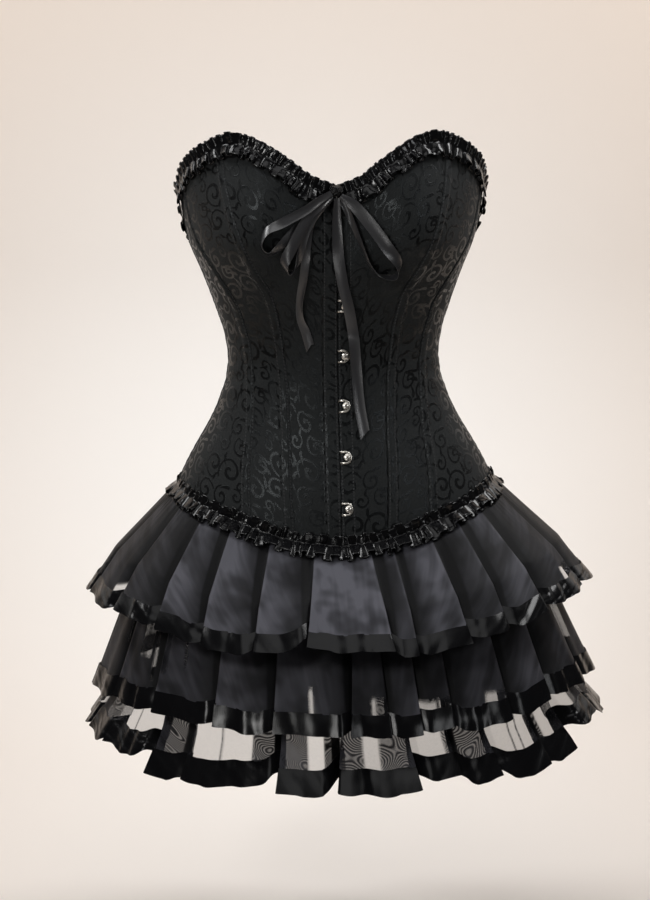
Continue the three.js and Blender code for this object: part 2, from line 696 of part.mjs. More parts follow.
// Turns a flat piece to lie on the bodice's front, its own Z pointing out of the cloth
function placeOnFront(mesh, x, z, lift) {
  const deg = THREE.MathUtils.radToDeg(Math.asin(x / sideAt(z)));
  const out = torsoNormal(deg, z);
  const up = torso(deg, z + 0.5).sub(torso(deg, z - 0.5)).normalize();
  const across = up.clone().cross(out).normalize();
  const turned = new THREE.Matrix4().makeBasis(across, out.clone().cross(across), out);
  mesh.quaternion.setFromRotationMatrix(turned);
  mesh.position.copy(onFront(x, z, lift));
}

// The busk's wire loop: two legs out of the left front's edge and a round end
function loopGeometry() {
  const outer = LOOP_HEIGHT / 2;
  const inner = outer - LOOP_WIRE;
  const start = SEAM_GAP / 2 - STUD_OFFSET;
  const bend = LOOP_REACH - outer - STUD_OFFSET;
  const shape = new THREE.Shape();
  shape.moveTo(start, -outer);
  shape.lineTo(bend, -outer);
  shape.absarc(bend, 0, outer, -Math.PI / 2, Math.PI / 2, false);
  shape.lineTo(start, outer);
  shape.lineTo(start, inner);
  shape.lineTo(bend, inner);
  shape.absarc(bend, 0, inner, Math.PI / 2, -Math.PI / 2, true);
  shape.lineTo(start, -inner);
  const options = { depth: LOOP_THICKNESS, bevelEnabled: false, curveSegments: 9 };
  return new THREE.ExtrudeGeometry(shape, options);
}

// The busk's stud: a stem through the loop and a domed head over it
function studGeometry() {
  const neck = LOOP_LIFT + LOOP_THICKNESS + SEAM_GAP - STUD_LIFT;
  const profile = [
    new THREE.Vector2(0, 0),
    new THREE.Vector2(STUD_STEM_RADIUS, 0),
    new THREE.Vector2(STUD_STEM_RADIUS, neck),
    new THREE.Vector2(STUD_HEAD_RADIUS, neck),
    new THREE.Vector2(STUD_HEAD_RADIUS, neck + STUD_HEAD_HEIGHT * 0.35),
    new THREE.Vector2(STUD_HEAD_RADIUS * 0.7, neck + STUD_HEAD_HEIGHT * 0.8),
    new THREE.Vector2(0, neck + STUD_HEAD_HEIGHT),
  ];
  return new THREE.LatheGeometry(profile, 14).rotateX(Math.PI / 2);
}

function addBusk() {
  BUSK_HEIGHTS.forEach((z, i) => {
    const loop = addPiece(`busk_loop_${i + 1}`, loopGeometry(), 'metal');
    placeOnFront(loop, STUD_OFFSET, z, LOOP_LIFT);
    const stud = addPiece(`busk_stud_${i + 1}`, studGeometry(), 'metal');
    placeOnFront(stud, STUD_OFFSET, z, STUD_LIFT);
  });
}

// A ribbon through a table of places, twisted about its own length
function ribbonGeometry(places) {
  const columns = ['x', 'z', 'lift', 'width', 'twist'];
  const rows = places.map((place, step) => ({ step, ...place }));
  const curves = columns.map((column) => curve(rows, 'step', column));
  const count = 2 * (rows.length - 1);
  const samples = [];
  for (let i = 0; i <= count; i += 1) {
    samples.push(Object.fromEntries(columns.map((column, c) => [column, curves[c](i / 2)])));
  }
  const points = samples.map((s) => onFront(s.x, s.z, s.lift));
  const sections = points.map((point, i) => {
    const next = points[Math.min(i + 1, count)];
    const ahead = next.clone().sub(points[Math.max(i - 1, 0)]).normalize();
    const out = onFront(samples[i].x, samples[i].z, 1).sub(onFront(samples[i].x, samples[i].z, 0));
    const flat = ahead.clone().cross(out).normalize();
    const across = flat.applyAxisAngle(ahead, radians(samples[i].twist));
    const face = across.clone().cross(ahead).normalize();
    const half = samples[i].width / 2;
    const edges = [moved(point, across, -half), moved(point, across, half)];
    return {
      front: edges.map((edge) => moved(edge, face, RIBBON_WALL / 2)),
      back: edges.map((edge) => moved(edge, face, -RIBBON_WALL / 2)),
    };
  });
  return wall(sections.map((section) => section.front), sections.map((section) => section.back));
}

function addBow() {
  const knot = addPiece('bow_knot', new THREE.SphereGeometry(1, 14, 10), 'satin');
  knot.geometry.scale(KNOT.across, KNOT.tall, KNOT.deep);
  placeOnFront(knot, KNOT.x, KNOT.z, KNOT.lift);
  for (const [name, places] of Object.entries(BOW)) {
    addPiece(name, ribbonGeometry(places), 'satin');
  }
}

addPanels();
addTopFrill();
addHemFrill();
TIERS.forEach(addTier);
addBusk();
addBow();

export default group;
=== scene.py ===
# %% [markdown]
# # A strapless corset dress
# This script dresses the plain solids of a corset dress in cloth, lights it, and looks at it from
# the front. The solids give every form in metres, so each piece is made where its solid is. Tables
# of places and angles are in millimetres and degrees, as a pattern cutter would write them.
# "Left" and "right" are as seen from the front, and angles run round the body: 0 is the front,
# 90 the right side and 180 the back.

# %% Load the frame
import math

import bpy
import numpy as np
from mathutils import Matrix, Vector


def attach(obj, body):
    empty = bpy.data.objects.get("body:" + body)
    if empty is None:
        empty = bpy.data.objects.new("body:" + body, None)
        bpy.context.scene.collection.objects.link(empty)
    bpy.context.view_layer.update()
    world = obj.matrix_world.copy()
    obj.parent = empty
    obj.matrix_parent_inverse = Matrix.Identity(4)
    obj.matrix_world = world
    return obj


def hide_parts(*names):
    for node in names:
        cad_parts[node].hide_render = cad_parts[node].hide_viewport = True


MM = 0.001

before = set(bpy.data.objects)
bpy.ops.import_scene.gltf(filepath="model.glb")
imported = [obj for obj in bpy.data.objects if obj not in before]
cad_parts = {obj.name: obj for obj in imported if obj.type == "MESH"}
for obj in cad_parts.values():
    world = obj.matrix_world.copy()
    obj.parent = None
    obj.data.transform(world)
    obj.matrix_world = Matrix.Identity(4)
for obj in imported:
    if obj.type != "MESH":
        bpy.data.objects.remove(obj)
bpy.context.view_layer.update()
print("frame:", len(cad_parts), "solids")


def select_only(piece):
    """Makes one piece the only selected and active one."""
    bpy.ops.object.select_all(action="DESELECT")
    if piece is not None:
        piece.select_set(True)
        bpy.context.view_layer.objects.active = piece


# %% [markdown]
# ## The camera
# The dress was photographed from a little above its waist, a couple of metres away, and slightly
# from its own right. A long lens keeps the skirt's hem nearly level. The camera is placed by its
# distance, its angles and the point it looks at, because those are what a photographer sets.

# %% Camera
CAMERA_DISTANCE = 2.0
CAMERA_PITCH = math.radians(8)
CAMERA_ROUND = math.radians(-2.5)
CAMERA_ROLL = math.radians(-0.8)
CAMERA_TARGET = Vector((-0.0103, 0, -0.097))
LENS_MM = 76.2
SENSOR_MM = 36

back = Vector((
    math.sin(CAMERA_ROUND) * math.cos(CAMERA_PITCH),
    -math.cos(CAMERA_ROUND) * math.cos(CAMERA_PITCH),
    math.sin(CAMERA_PITCH),
))
level = (-back).cross(Vector((0, 0, 1))).normalized()
upright = level.cross(-back)
camera_x = level * math.cos(CAMERA_ROLL) + upright * math.sin(CAMERA_ROLL)
camera_y = upright * math.cos(CAMERA_ROLL) - level * math.sin(CAMERA_ROLL)

select_only(None)
bpy.ops.object.camera_add(location=CAMERA_TARGET + back * CAMERA_DISTANCE)
camera = bpy.context.object
camera.name = "camera"
axes = Matrix((camera_x, camera_y, back)).transposed()
camera.matrix_world = Matrix.Translation(camera.location) @ axes.to_4x4()
camera.data.sensor_fit = "VERTICAL"
camera.data.sensor_height = SENSOR_MM
camera.data.lens = LENS_MM
bpy.context.scene.camera = camera
print("camera:", [round(v, 3) for v in camera.location])

# %% [markdown]
# ## Light and floor
# Black cloth shows its form only by what it reflects, so the lights are large and soft and stand
# to both sides: their reflections draw the folds and the satin. The floor and the backdrop are one
# pale sweep, curved where they meet so that no line shows. Both are stage, not part of the dress.
# The world gives little light, but the camera sees it pale where a view looks past the sweep.

# %% Floor and backdrop
FLOOR_Z = -0.66
SWEEP_FRONT = -0.9
SWEEP_BACK = 1.5
SWEEP_RADIUS = 0.7
SWEEP_TOP = 2.6
SWEEP_HALF_WIDTH = 3.2

bpy.context.scene.view_settings.view_transform = "Standard"


def sweep_profile():
    """The backdrop's side view: a floor, a quarter circle and a wall."""
    steps = np.radians(np.linspace(0, 90, 17))
    bend_y = SWEEP_BACK - SWEEP_RADIUS + SWEEP_RADIUS * np.sin(steps)
    bend_z = FLOOR_Z + SWEEP_RADIUS * (1 - np.cos(steps))
    y = np.concatenate([[SWEEP_FRONT], bend_y, [SWEEP_BACK]])
    z = np.concatenate([[FLOOR_Z], bend_z, [SWEEP_TOP]])
    return np.stack([y, z], axis=-1)


select_only(None)
profile = sweep_profile()
bpy.ops.mesh.primitive_grid_add(x_subdivisions=12, y_subdivisions=len(profile) - 1, size=2)
sweep = bpy.context.object
sweep.name = "backdrop"
for vertex in sweep.data.vertices:
    row = round((vertex.co.y + 1) / 2 * (len(profile) - 1))
    vertex.co = (vertex.co.x * SWEEP_HALF_WIDTH, profile[row][0], profile[row][1])
bpy.ops.object.shade_smooth()
print("backdrop:", len(sweep.data.polygons), "faces")

# %% Lights
LIGHTS = [
    # name, place, what it points at, size, watts, colour
    ("key_left", (-1.3, -2.1, 1.2), (0, 0, -0.1), 0.6, 18, (1, 0.99, 0.97)),
    ("key_right", (1.6, -1.9, 1.0), (0, 0, -0.1), 0.6, 6, (0.97, 0.985, 1)),
    ("top", (0, -0.9, 2.1), (0, 0, -0.1), 1.8, 11, (1, 1, 1)),
    ("low_fill", (-0.6, -1.9, -0.4), (0, 0, -0.15), 0.5, 2.5, (1, 0.99, 0.98)),
    ("rim_left", (-1.5, 1.1, 0.7), (0, 0, -0.1), 0.9, 1.5, (1, 1, 1)),
    ("rim_right", (1.5, 1.1, 0.7), (0, 0, -0.1), 0.9, 1.5, (1, 1, 1)),
    ("backdrop_left", (-1.3, 0.3, 1.6), (-0.4, 1.5, 0.1), 1.0, 22, (1, 1, 1)),
    ("backdrop_right", (1.3, 0.3, 1.6), (0.4, 1.5, 0.1), 1.0, 27, (1, 1, 1)),
]
WORLD_COLOUR = (1, 0.96, 0.92, 1)
WORLD_STRENGTH = 0.05
WORLD_SEEN = 0.8

for name, place, target, size, watts, colour in LIGHTS:
    bpy.ops.object.light_add(type="AREA", location=place)
    light = bpy.context.object
    light.name = name
    light.data.shape = "DISK"
    light.data.size = size
    light.data.energy = watts
    light.data.color = colour
    aim = Vector(target) - light.location
    light.rotation_euler = aim.to_track_quat("-Z", "Y").to_euler()

world = bpy.data.worlds.new("studio")
world.use_nodes = True
background = world.node_tree.nodes["Background"]
background.inputs["Color"].default_value = WORLD_COLOUR
looks = world.node_tree.nodes.new("ShaderNodeLightPath")
strength = world.node_tree.nodes.new("ShaderNodeMapRange")
strength.inputs["To Min"].default_value = WORLD_STRENGTH
strength.inputs["To Max"].default_value = WORLD_SEEN
world.node_tree.links.new(looks.outputs["Is Camera Ray"], strength.inputs["Value"])
world.node_tree.links.new(strength.outputs["Result"], background.inputs["Strength"])
bpy.context.scene.world = world
print("lights:", len(LIGHTS))

# %% [markdown]
# ## The form of the bodice
# A maker fits this bodice over a body and checks its measurements level by level. The same tables
# drive the solids: each level's half width and depth, and each seam's and edge's course. Smooth
# curves through the tables give any point between, so the cloth can be as fine as it needs to be.

# %% Tables of the bodice
SECTIONS = [
    # height, half width, depth in front, depth behind
    (-200, 200, 123, 122), (-185, 194, 122, 121), (-155, 180, 118, 117), (-127, 166, 112, 112),
    (-92, 147, 102, 102), (-58, 127.3, 91, 89), (-24, 113.4, 84, 79), (0, 109.5, 82, 76),
    (26, 112, 85, 77), (59, 122.2, 92, 81), (92, 134.3, 100, 86), (125, 147.5, 104, 88),
    (170, 156, 106, 88), (205, 158, 102, 86), (240, 158, 98, 82),
]
CUP_DEPTH, CUP_ACROSS, CUP_Z = 34, 87, 126
CUP_SPREAD, CUP_BELOW, CUP_ABOVE, CUP_FADE = 50, 45, 75, 0.5
TOP_EDGE = [
    # angle, height
    (0, 169), (10, 179), (20, 199), (32, 217), (42, 220.5), (55, 211), (70, 196), (80, 180),
    (90, 160), (100, 141), (112, 130), (130, 126), (180, 125),
]
HEM_EDGE = [
    (0, -177), (15, -171), (40, -150), (65, -134), (90, -127), (120, -130), (150, -138),
    (180, -142),
]
CUP_SEAM = [
    # height, angle
    (-200, 13.5), (-156, 15), (-81, 20), (-38, 24.5), (7, 28.4), (42, 29.2), (71, 30.5), (96, 35.5),
    (121, 38.6), (160, 41.8), (230, 45),
]
SIDE_FRONT_SEAM = [
    (-200, 28), (-144, 31), (-109, 35), (-69, 39.8), (-15, 49.2), (36, 52.3), (64, 54), (95, 62),
    (131, 69.5), (230, 77),
]


def straight_seam(deg):
    """A seam that keeps its angle all the way up."""
    return [(-200, deg), (230, deg)]


SEAMS = [straight_seam(0), CUP_SEAM, SIDE_FRONT_SEAM, straight_seam(90), straight_seam(124),
         straight_seam(153), straight_seam(180)]


def curve(table, column):
    """A smooth curve through one column of a table, by the table's first column."""
    rows = np.asarray(table, float)
    at, value = rows[:, 0], rows[:, column]
    order = np.arange(len(at))
    before, after = np.maximum(order - 1, 0), np.minimum(order + 1, len(at) - 1)
    slope = (value[after] - value[before]) / (at[after] - at[before])

    def through(where):
        i = np.searchsorted(at[1:-1], where)
        span = at[i + 1] - at[i]
        t = np.clip((where - at[i]) / span, 0, 1)
        ease = t * t * (3 - 2 * t)
        start, end = t * (1 - t) ** 2 * slope[i], t * t * (t - 1) * slope[i + 1]
        return value[i] + (value[i + 1] - value[i]) * ease + span * (start + end)

    return through


side_at, front_at, back_at = (curve(SECTIONS, column) for column in (1, 2, 3))
top_curve, hem_curve = curve(TOP_EDGE, 1), curve(HEM_EDGE, 1)
seam_at = [curve(seam, 1) for seam in SEAMS]


def folded_angle(deg):
    """An angle brought between 0 and 180, because both sides are alike."""
    turn = np.abs(deg) % 360
    return np.where(turn > 180, 360 - turn, turn)


def top_at(deg):
    return top_curve(folded_angle(deg))


def hem_at(deg):
    return hem_curve(folded_angle(deg))


def smooth(low, high, value):
    """0 below low, 1 above high, and a soft step between."""
    t = np.clip((value - low) / (high - low), 0, 1)
    return t * t * (3 - 2 * t)


def unit(vectors):
    return vectors / np.maximum(np.linalg.norm(vectors, axis=-1, keepdims=True), 1e-9)


def torso(deg, z):
    """Points of the bodice's outer face, in millimetres."""
    deg, z = np.broadcast_arrays(np.asarray(deg, float), np.asarray(z, float))
    turn = np.radians(deg)
    facing = np.cos(turn)
    x = side_at(z) * np.sin(turn)
    depth = np.where(facing > 0, front_at(z), back_at(z))
    sideways = (np.abs(x) - CUP_ACROSS) / CUP_SPREAD
    upward = (z - CUP_Z) / np.where(z > CUP_Z, CUP_ABOVE, CUP_BELOW)
    cup = CUP_DEPTH * np.exp(-sideways**2 - upward**2) * smooth(0, CUP_FADE, facing)
    return np.stack([x, -depth * facing - cup, z], axis=-1)


def torso_normal(deg, z):
    """Which way the bodice faces there."""
    deg, z = np.broadcast_arrays(np.asarray(deg, float), np.asarray(z, float))
    across = torso(deg + 0.5, z) - torso(deg - 0.5, z)
    along = torso(deg, z + 0.5) - torso(deg, z - 0.5)
    return unit(np.cross(across, along))


def arc_rate(deg, z):
    """Millimetres round the body for one degree."""
    return np.linalg.norm(torso(deg + 0.5, z) - torso(deg - 0.5, z), axis=-1)


waist = torso(np.linspace(0, 360, 721), 0.0)
print("waist: %.0f mm round" % np.linalg.norm(np.diff(waist, axis=0), axis=1).sum())

# %% [markdown]
# ## How a piece of cloth is made
# Cut cloth is a flat sheet of rows and columns of thread, so each piece starts as a flat grid.
# Every point of the grid is then moved to its place on the form, and the grid keeps its own flat
# measure as a UV map in metres, so that a woven pattern neither stretches nor slides. Solidify
# gives the sheet its thickness, inwards, so the outer face stays where the form says.

# %% Cloth helpers
SHARP_ANGLE = math.radians(50)


def cloth_grid(name, points, flat=None, marks=None):
    """A sheet through rows of points in millimetres, with a flat measure and marks."""
    rows, columns = points.shape[:2]
    select_only(None)
    bpy.ops.mesh.primitive_grid_add(x_subdivisions=columns - 1, y_subdivisions=rows - 1)
    piece = bpy.context.object
    piece.name = piece.data.name = name
    mesh = piece.data
    mesh.vertices.foreach_set("co", (points.reshape(-1, 3) * MM).ravel())
    if flat is None:
        flat = flat_measure(points)
    corner = np.empty(len(mesh.loops), int)
    mesh.loops.foreach_get("vertex_index", corner)
    mesh.uv_layers[0].data.foreach_set("uv", (flat.reshape(-1, 2) * MM)[corner].ravel())
    mesh.uv_layers[0].name = "cloth"
    for mark, values in (marks or {}).items():
        attribute = mesh.attributes.new(mark, "FLOAT", "POINT")
        attribute.data.foreach_set("value", np.broadcast_to(values, (rows, columns)).ravel())
    mesh.update()
    bpy.ops.object.shade_smooth()
    return piece


def flat_measure(points):
    """How far each point lies across the cloth from its middle column, and up from its foot."""
    across = np.linalg.norm(np.diff(points, axis=1), axis=-1)
    across = np.concatenate([np.zeros((len(points), 1)), np.cumsum(across, axis=1)], axis=1)
    middle = points.shape[1] // 2
    across -= across[:, middle : middle + 1]
    up = np.linalg.norm(np.diff(points[:, middle], axis=0), axis=-1)
    up = np.concatenate([[0], np.cumsum(up)])
    return np.stack([across, np.broadcast_to(up[:, None], across.shape)], axis=-1)


def apply_modifier(piece, kind, **settings):
    """Adds one modifier with its settings and applies it."""
    select_only(piece)
    modifier = piece.modifiers.new(kind.title(), kind)
    for key, value in settings.items():
        setattr(modifier, key, value)
    bpy.ops.object.modifier_apply(modifier=modifier.name)


def thicken(piece, thickness):
    """Gives a sheet its thickness inwards."""
    apply_modifier(piece, "SOLIDIFY", thickness=thickness * MM, offset=-1, use_quality_normals=True)


def finish_piece(piece, node, material):
    """The piece rides on the dress, stands for its solid and takes its finish."""
    piece.data.materials.append(material)
    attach(piece, "root")
    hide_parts(node)


def flat_size(points):
    """Width and length of the rectangle a sheet is cut from, in metres."""
    across = flat_measure(points)[..., 0]
    lengths = np.linalg.norm(np.diff(points, axis=0), axis=-1).sum(axis=0)
    return (across.max() - across.min()) * MM, lengths.max() * MM


def gathered_cut(points):
    """Mean width and length of a sheet that is wider at one end than at the other, in metres."""
    length = flat_size(points)[1]
    return grid_area(points) / length, length


def grid_area(points):
    """Area of a sheet in square metres."""
    a, b, c, d = points[:-1, :-1], points[:-1, 1:], points[1:, 1:], points[1:, :-1]
    halves = np.cross(b - a, c - a), np.cross(c - a, d - a)
    return sum(np.linalg.norm(half, axis=-1).sum() for half in halves) / 2 * MM * MM


# %% [markdown]
# ## Building materials from nodes
# Materials are graphs of small nodes. Adding up many nodes by hand is hard to read, so a node's
# output is wrapped in a Value, and plain arithmetic with Values adds the Math nodes that do it.
# Effects that several materials share are node groups with named inputs and outputs.

# %% Node helpers


class Value:
    """A node's output in its tree. Arithmetic with it adds the nodes that do it."""

    def __init__(self, tree, socket):
        self.tree, self.socket = tree, socket

    def __add__(self, other):
        return calc(self.tree, "ADD", self, other)

    def __sub__(self, other):
        return calc(self.tree, "SUBTRACT", self, other)

    def __rsub__(self, other):
        return calc(self.tree, "SUBTRACT", other, self)

    def __mul__(self, other):
        return calc(self.tree, "MULTIPLY", self, other)

    def __truediv__(self, other):
        return calc(self.tree, "DIVIDE", self, other)

    def __rtruediv__(self, other):
        return calc(self.tree, "DIVIDE", other, self)

    def __abs__(self):
        return calc(self.tree, "ABSOLUTE", self)


def wire(tree, target, value):
    """Feeds an input from a node's output, or sets it to a plain value."""
    if isinstance(value, Value):
        tree.links.new(value.socket, target)
    else:
        target.default_value = value


def wire_all(tree, node, inputs):
    """Feeds several inputs of a node, given by name or number."""
    for key, value in inputs.items():
        wire(tree, node.inputs[key], value)


def values_of(tree, node):
    """A node's outputs by name."""
    return {socket.name: Value(tree, socket) for socket in node.outputs}


def add_node(tree, kind, inputs=None, output=0, **settings):
    """Adds a node, sets it up, feeds its inputs and gives one of its outputs."""
    node = tree.nodes.new("ShaderNode" + kind)
    for key, value in settings.items():
        setattr(node, key, value)
    wire_all(tree, node, inputs or {})
    return Value(tree, node.outputs[output])


def calc(tree, operation, *values):
    """One step of arithmetic with numbers."""
    return add_node(tree, "Math", dict(enumerate(values)), operation=operation)


def vector(tree, operation, *values, output=0, **named):
    """One step of arithmetic with vectors."""
    return add_node(tree, "VectorMath", {**dict(enumerate(values)), **named}, output,
                    operation=operation)


def split(tree, place):
    """A vector's parts, by name."""
    node = tree.nodes.new("ShaderNodeSeparateXYZ")
    wire(tree, node.inputs[0], place)
    return values_of(tree, node)


def highest(tree, values):
    """The greatest of several values."""
    top = values[0]
    for value in values[1:]:
        top = calc(tree, "MAXIMUM", top, value)
    return top


def soft_step(tree, value, low, high, start=0.0, end=1.0):
    """Goes from start to end as value goes from low to high."""
    inputs = {"Value": value, "From Min": low, "From Max": high, "To Min": start, "To Max": end}
    return add_node(tree, "MapRange", inputs, "Result", interpolation_type="SMOOTHSTEP")


def blend(tree, share, first, second):
    """Mixes two colours."""
    return add_node(tree, "Mix", {0: share, 6: first, 7: second}, 2, data_type="RGBA")


def noise(tree, place, scale, detail, output="Fac", **more):
    """Smooth noise from 0 to 1, or three such noises as a colour."""
    inputs = {"Vector": place, "Scale": scale, "Detail": detail, **more}
    return add_node(tree, "TexNoise", inputs, output)


def stretched_noise(tree, place, rates, detail):
    """Noise with its own rate along each direction of the cloth."""
    return noise(tree, add_node(tree, "Mapping", {"Vector": place, "Scale": rates}), 1.0, detail)


def bump(tree, height, strength, depth):
    """A normal from a height, whose full range is as deep as that many millimetres."""
    inputs = {"Height": height, "Strength": strength, "Distance": depth * MM}
    return add_node(tree, "Bump", inputs, "Normal")


def mark(tree, name):
    """A mark that the piece carries on its points."""
    return add_node(tree, "Attribute", output="Fac", attribute_name=name)


def cloth_map(tree):
    """The cloth's own flat measure."""
    return add_node(tree, "UVMap", output="UV", uv_map="cloth")


def new_group(name, inputs, outputs):
    """A group with number inputs (a vector where the value is None) and number outputs."""
    group = bpy.data.node_groups.new(name, "ShaderNodeTree")
    for socket, value in inputs.items():
        kind = "NodeSocketVector" if value is None else "NodeSocketFloat"
        made = group.interface.new_socket(socket, in_out="INPUT", socket_type=kind)
        if value is not None:
            made.default_value = value
    for socket in outputs:
        group.interface.new_socket(socket, in_out="OUTPUT", socket_type="NodeSocketFloat")
    given = values_of(group, group.nodes.new("NodeGroupInput"))
    return group, given, group.nodes.new("NodeGroupOutput")


def use_group(tree, group, **inputs):
    """Places a group in a tree, feeds its inputs and gives its outputs by name."""
    node = tree.nodes.new("ShaderNodeGroup")
    node.node_tree = group
    wire_all(tree, node, inputs)
    return values_of(tree, node)


def new_material(name):
    """An empty material, its tree and its Principled shader."""
    material = bpy.data.materials.new(name)
    material.use_nodes = True
    return material, material.node_tree, material.node_tree.nodes["Principled BSDF"]


# %% [markdown]
# ## Weave
# Every cloth here is woven, and the eye reads the threads as grain. The group below makes ribs by
# waves across and along the cloth, broken by noise so that no two threads are alike. Each cloth
# sets its own thread width.

# %% Weave group
SLUB_RATE, SLUB_DETAIL = 420.0, 3.0

weave, given, result = new_group(
    "woven_threads", {"Place": None, "Width": 0.4, "Uneven": 0.5}, ["Height", "Slub"])
scaled = vector(weave, "SCALE", given["Place"], Scale=2 * math.pi / MM / given["Width"])
parts = split(weave, scaled)
threads = calc(weave, "SINE", parts["X"]) * calc(weave, "SINE", parts["Y"])
slub = noise(weave, given["Place"], SLUB_RATE, SLUB_DETAIL)
wire_all(weave, result, {"Height": threads + slub * given["Uneven"], "Slub": slub})
print("group:", weave.name)

# %% [markdown]
# ## Scrolls
# The brocade's figure is an old one: curls and leaves in glossy satin on a matt ground, repeated
# with a half drop so that rows don't line up. A curl is a spiral, and a point's distance from it
# follows from its angle and radius, so each curl needs only a centre, a size, a turn and a hand.
# Each one repeats about its own centre, so none is cut at the edge of a repeat.

# %% Place in the repeat
REPEAT_WIDTH = 46.0
REPEAT_HEIGHT = 62.0
FIGURE_SCALE = 1.15

repeat, given, result = new_group(
    "scroll_repeat", {"Across": 0.0, "Up": 0.0, "Centre X": 0.0, "Centre Y": 0.0, "Turn": 0.0,
                      "Hand": 1.0}, ["X", "Y"])
across = given["Across"] - given["Centre X"]
column = calc(repeat, "ROUND", across / REPEAT_WIDTH)
up = given["Up"] - given["Centre Y"] + column * (REPEAT_HEIGHT / 2)
near_x = calc(repeat, "WRAP", across, REPEAT_WIDTH / 2, -REPEAT_WIDTH / 2)
near_y = calc(repeat, "WRAP", up, REPEAT_HEIGHT / 2, -REPEAT_HEIGHT / 2)
sine, cosine = (calc(repeat, kind, given["Turn"]) for kind in ("SINE", "COSINE"))
turned_y = near_y * cosine - near_x * sine
wire_all(repeat, result, {"X": near_x * cosine + near_y * sine, "Y": turned_y * given["Hand"]})
print("group:", repeat.name)

# %% One curl
CURL_SWELL, CURL_THICKEST, CURL_EDGE = 1.25, 0.35, 0.35

curl, given, result = new_group(
    "scroll_curl", {"X": 0.0, "Y": 0.0, "Pitch": 6.0, "Turns": 1.4, "Width": 1.6}, ["Mask"])
x, y, pitch = given["X"], given["Y"], given["Pitch"]
radius = calc(curl, "SQRT", x * x + y * y)
angle = calc(curl, "ARCTAN2", y, x) / (2 * math.pi) + 0.5
lap = radius / pitch - angle
whole = calc(curl, "MAXIMUM", calc(curl, "ROUND", lap), 0.0)
away = abs(lap - whole) * pitch
along = (whole + angle) / given["Turns"]
half = given["Width"] * 0.5 * (CURL_SWELL - abs(along - CURL_THICKEST))
line = soft_step(curl, away, half, half + CURL_EDGE, 1.0, 0.0)
wire_all(curl, result, {"Mask": line * calc(curl, "LESS_THAN", along, 1.0)})
print("group:", curl.name)

# %% One leaf
LEAF_FULLNESS, LEAF_EDGE = 0.7, 0.15

leaf, given, result = new_group(
    "scroll_leaf", {"X": 0.0, "Y": 0.0, "Length": 9.0, "Width": 3.0, "Bend": 0.04}, ["Mask"])
share = given["X"] / given["Length"]
bent = given["Y"] - given["Bend"] * (given["X"] * given["X"])
swell = calc(leaf, "POWER", calc(leaf, "MAXIMUM", share, 0.0), LEAF_FULLNESS)
half = given["Width"] * 0.5 * calc(leaf, "SINE", swell * math.pi)
blade = soft_step(leaf, abs(bent), half - LEAF_EDGE, half + LEAF_EDGE, 1.0, 0.0)
inside = calc(leaf, "GREATER_THAN", share, 0.0) * calc(leaf, "LESS_THAN", share, 1.0)
wire_all(leaf, result, {"Mask": blade * inside})
print("group:", leaf.name)

# %% The repeat's curls and leaves
CURLS = [
    # x, y, pitch, turns, turn in degrees, hand, line width
    (12, 14, 8.2, 1.55, 200, 1, 2.6), (34, 22, 7.4, 1.5, 20, -1, 2.4),
    (18, 37, 6.2, 1.45, 100, -1, 2.2), (38, 47, 8.2, 1.5, 300, 1, 2.6),
    (8, 53, 6.4, 1.4, 60, -1, 2.2), (24, 57, 5.0, 1.35, 180, 1, 1.9),
    (44, 5, 5.4, 1.35, 120, 1, 2.0), (26, 4, 4.6, 1.25, 240, -1, 1.8),
]
LEAVES = [
    # x, y, length, width, bend, turn in degrees, hand
    (22, 18, 12, 3.8, 0.05, 70, 1), (23, 16, 10, 3.2, 0.06, 15, -1),
    (28, 32, 12, 3.8, 0.05, 130, 1), (4, 30, 12, 3.6, 0.05, 250, 1),
    (13, 44, 10, 3.2, 0.06, 330, 1), (29, 42, 10, 3.2, 0.05, 200, -1),
    (42, 33, 11, 3.4, 0.06, 90, -1), (17, 61, 11, 3.4, 0.05, 160, 1),
    (2, 40, 9, 3.0, 0.05, 100, -1), (32, 10, 9, 3.0, 0.05, 300, 1),
]
WOBBLE_RATE, WOBBLE = 28.0, 0.006

scrolls, given, result = new_group("brocade_scrolls", {"Place": None}, ["Mask"])
wavy = noise(scrolls, given["Place"], WOBBLE_RATE, 1.0, output="Color")
offset = vector(scrolls, "SUBTRACT", wavy, (0.5, 0.5, 0.5))
moved = vector(scrolls, "ADD", given["Place"], vector(scrolls, "SCALE", offset, Scale=WOBBLE))
in_mm = split(scrolls, vector(scrolls, "SCALE", moved, Scale=1 / MM / FIGURE_SCALE))


def motif(x, y, turn, hand):
    """Where the point lies as seen from one motif."""
    centre = {"Centre X": float(x), "Centre Y": float(y)}
    return use_group(scrolls, repeat, Across=in_mm["X"], Up=in_mm["Y"], Turn=math.radians(turn),
                     Hand=float(hand), **centre)


masks = [
    use_group(scrolls, curl, Pitch=pitch, Turns=turns, Width=width, **motif(x, y, turn, hand))
    for x, y, pitch, turns, turn, hand, width in CURLS]
masks += [
    use_group(scrolls, leaf, Length=float(length), Width=width, Bend=bend,
              **motif(x, y, turn, hand))
    for x, y, length, width, bend, turn, hand in LEAVES]
wire_all(scrolls, result, {"Mask": highest(scrolls, [mask["Mask"] for mask in masks])})
print("scrolls:", len(masks), "motifs in a repeat")

# %% [markdown]
# ## Stitches
# The channels that hold the bones are sewn down with two rows of small stitches. Each stitch pulls
# the cloth in, and its thread is painted lighter than the cloth, a painted highlight where it
# catches the light. A row is drawn along the channel from the point's distance to the seam, which
# every bodice panel carries as a mark on its points.

# %% Stitch group
STITCH_END = (0.28, 0.36)
STITCH_DIP = (0.3, 1.4)

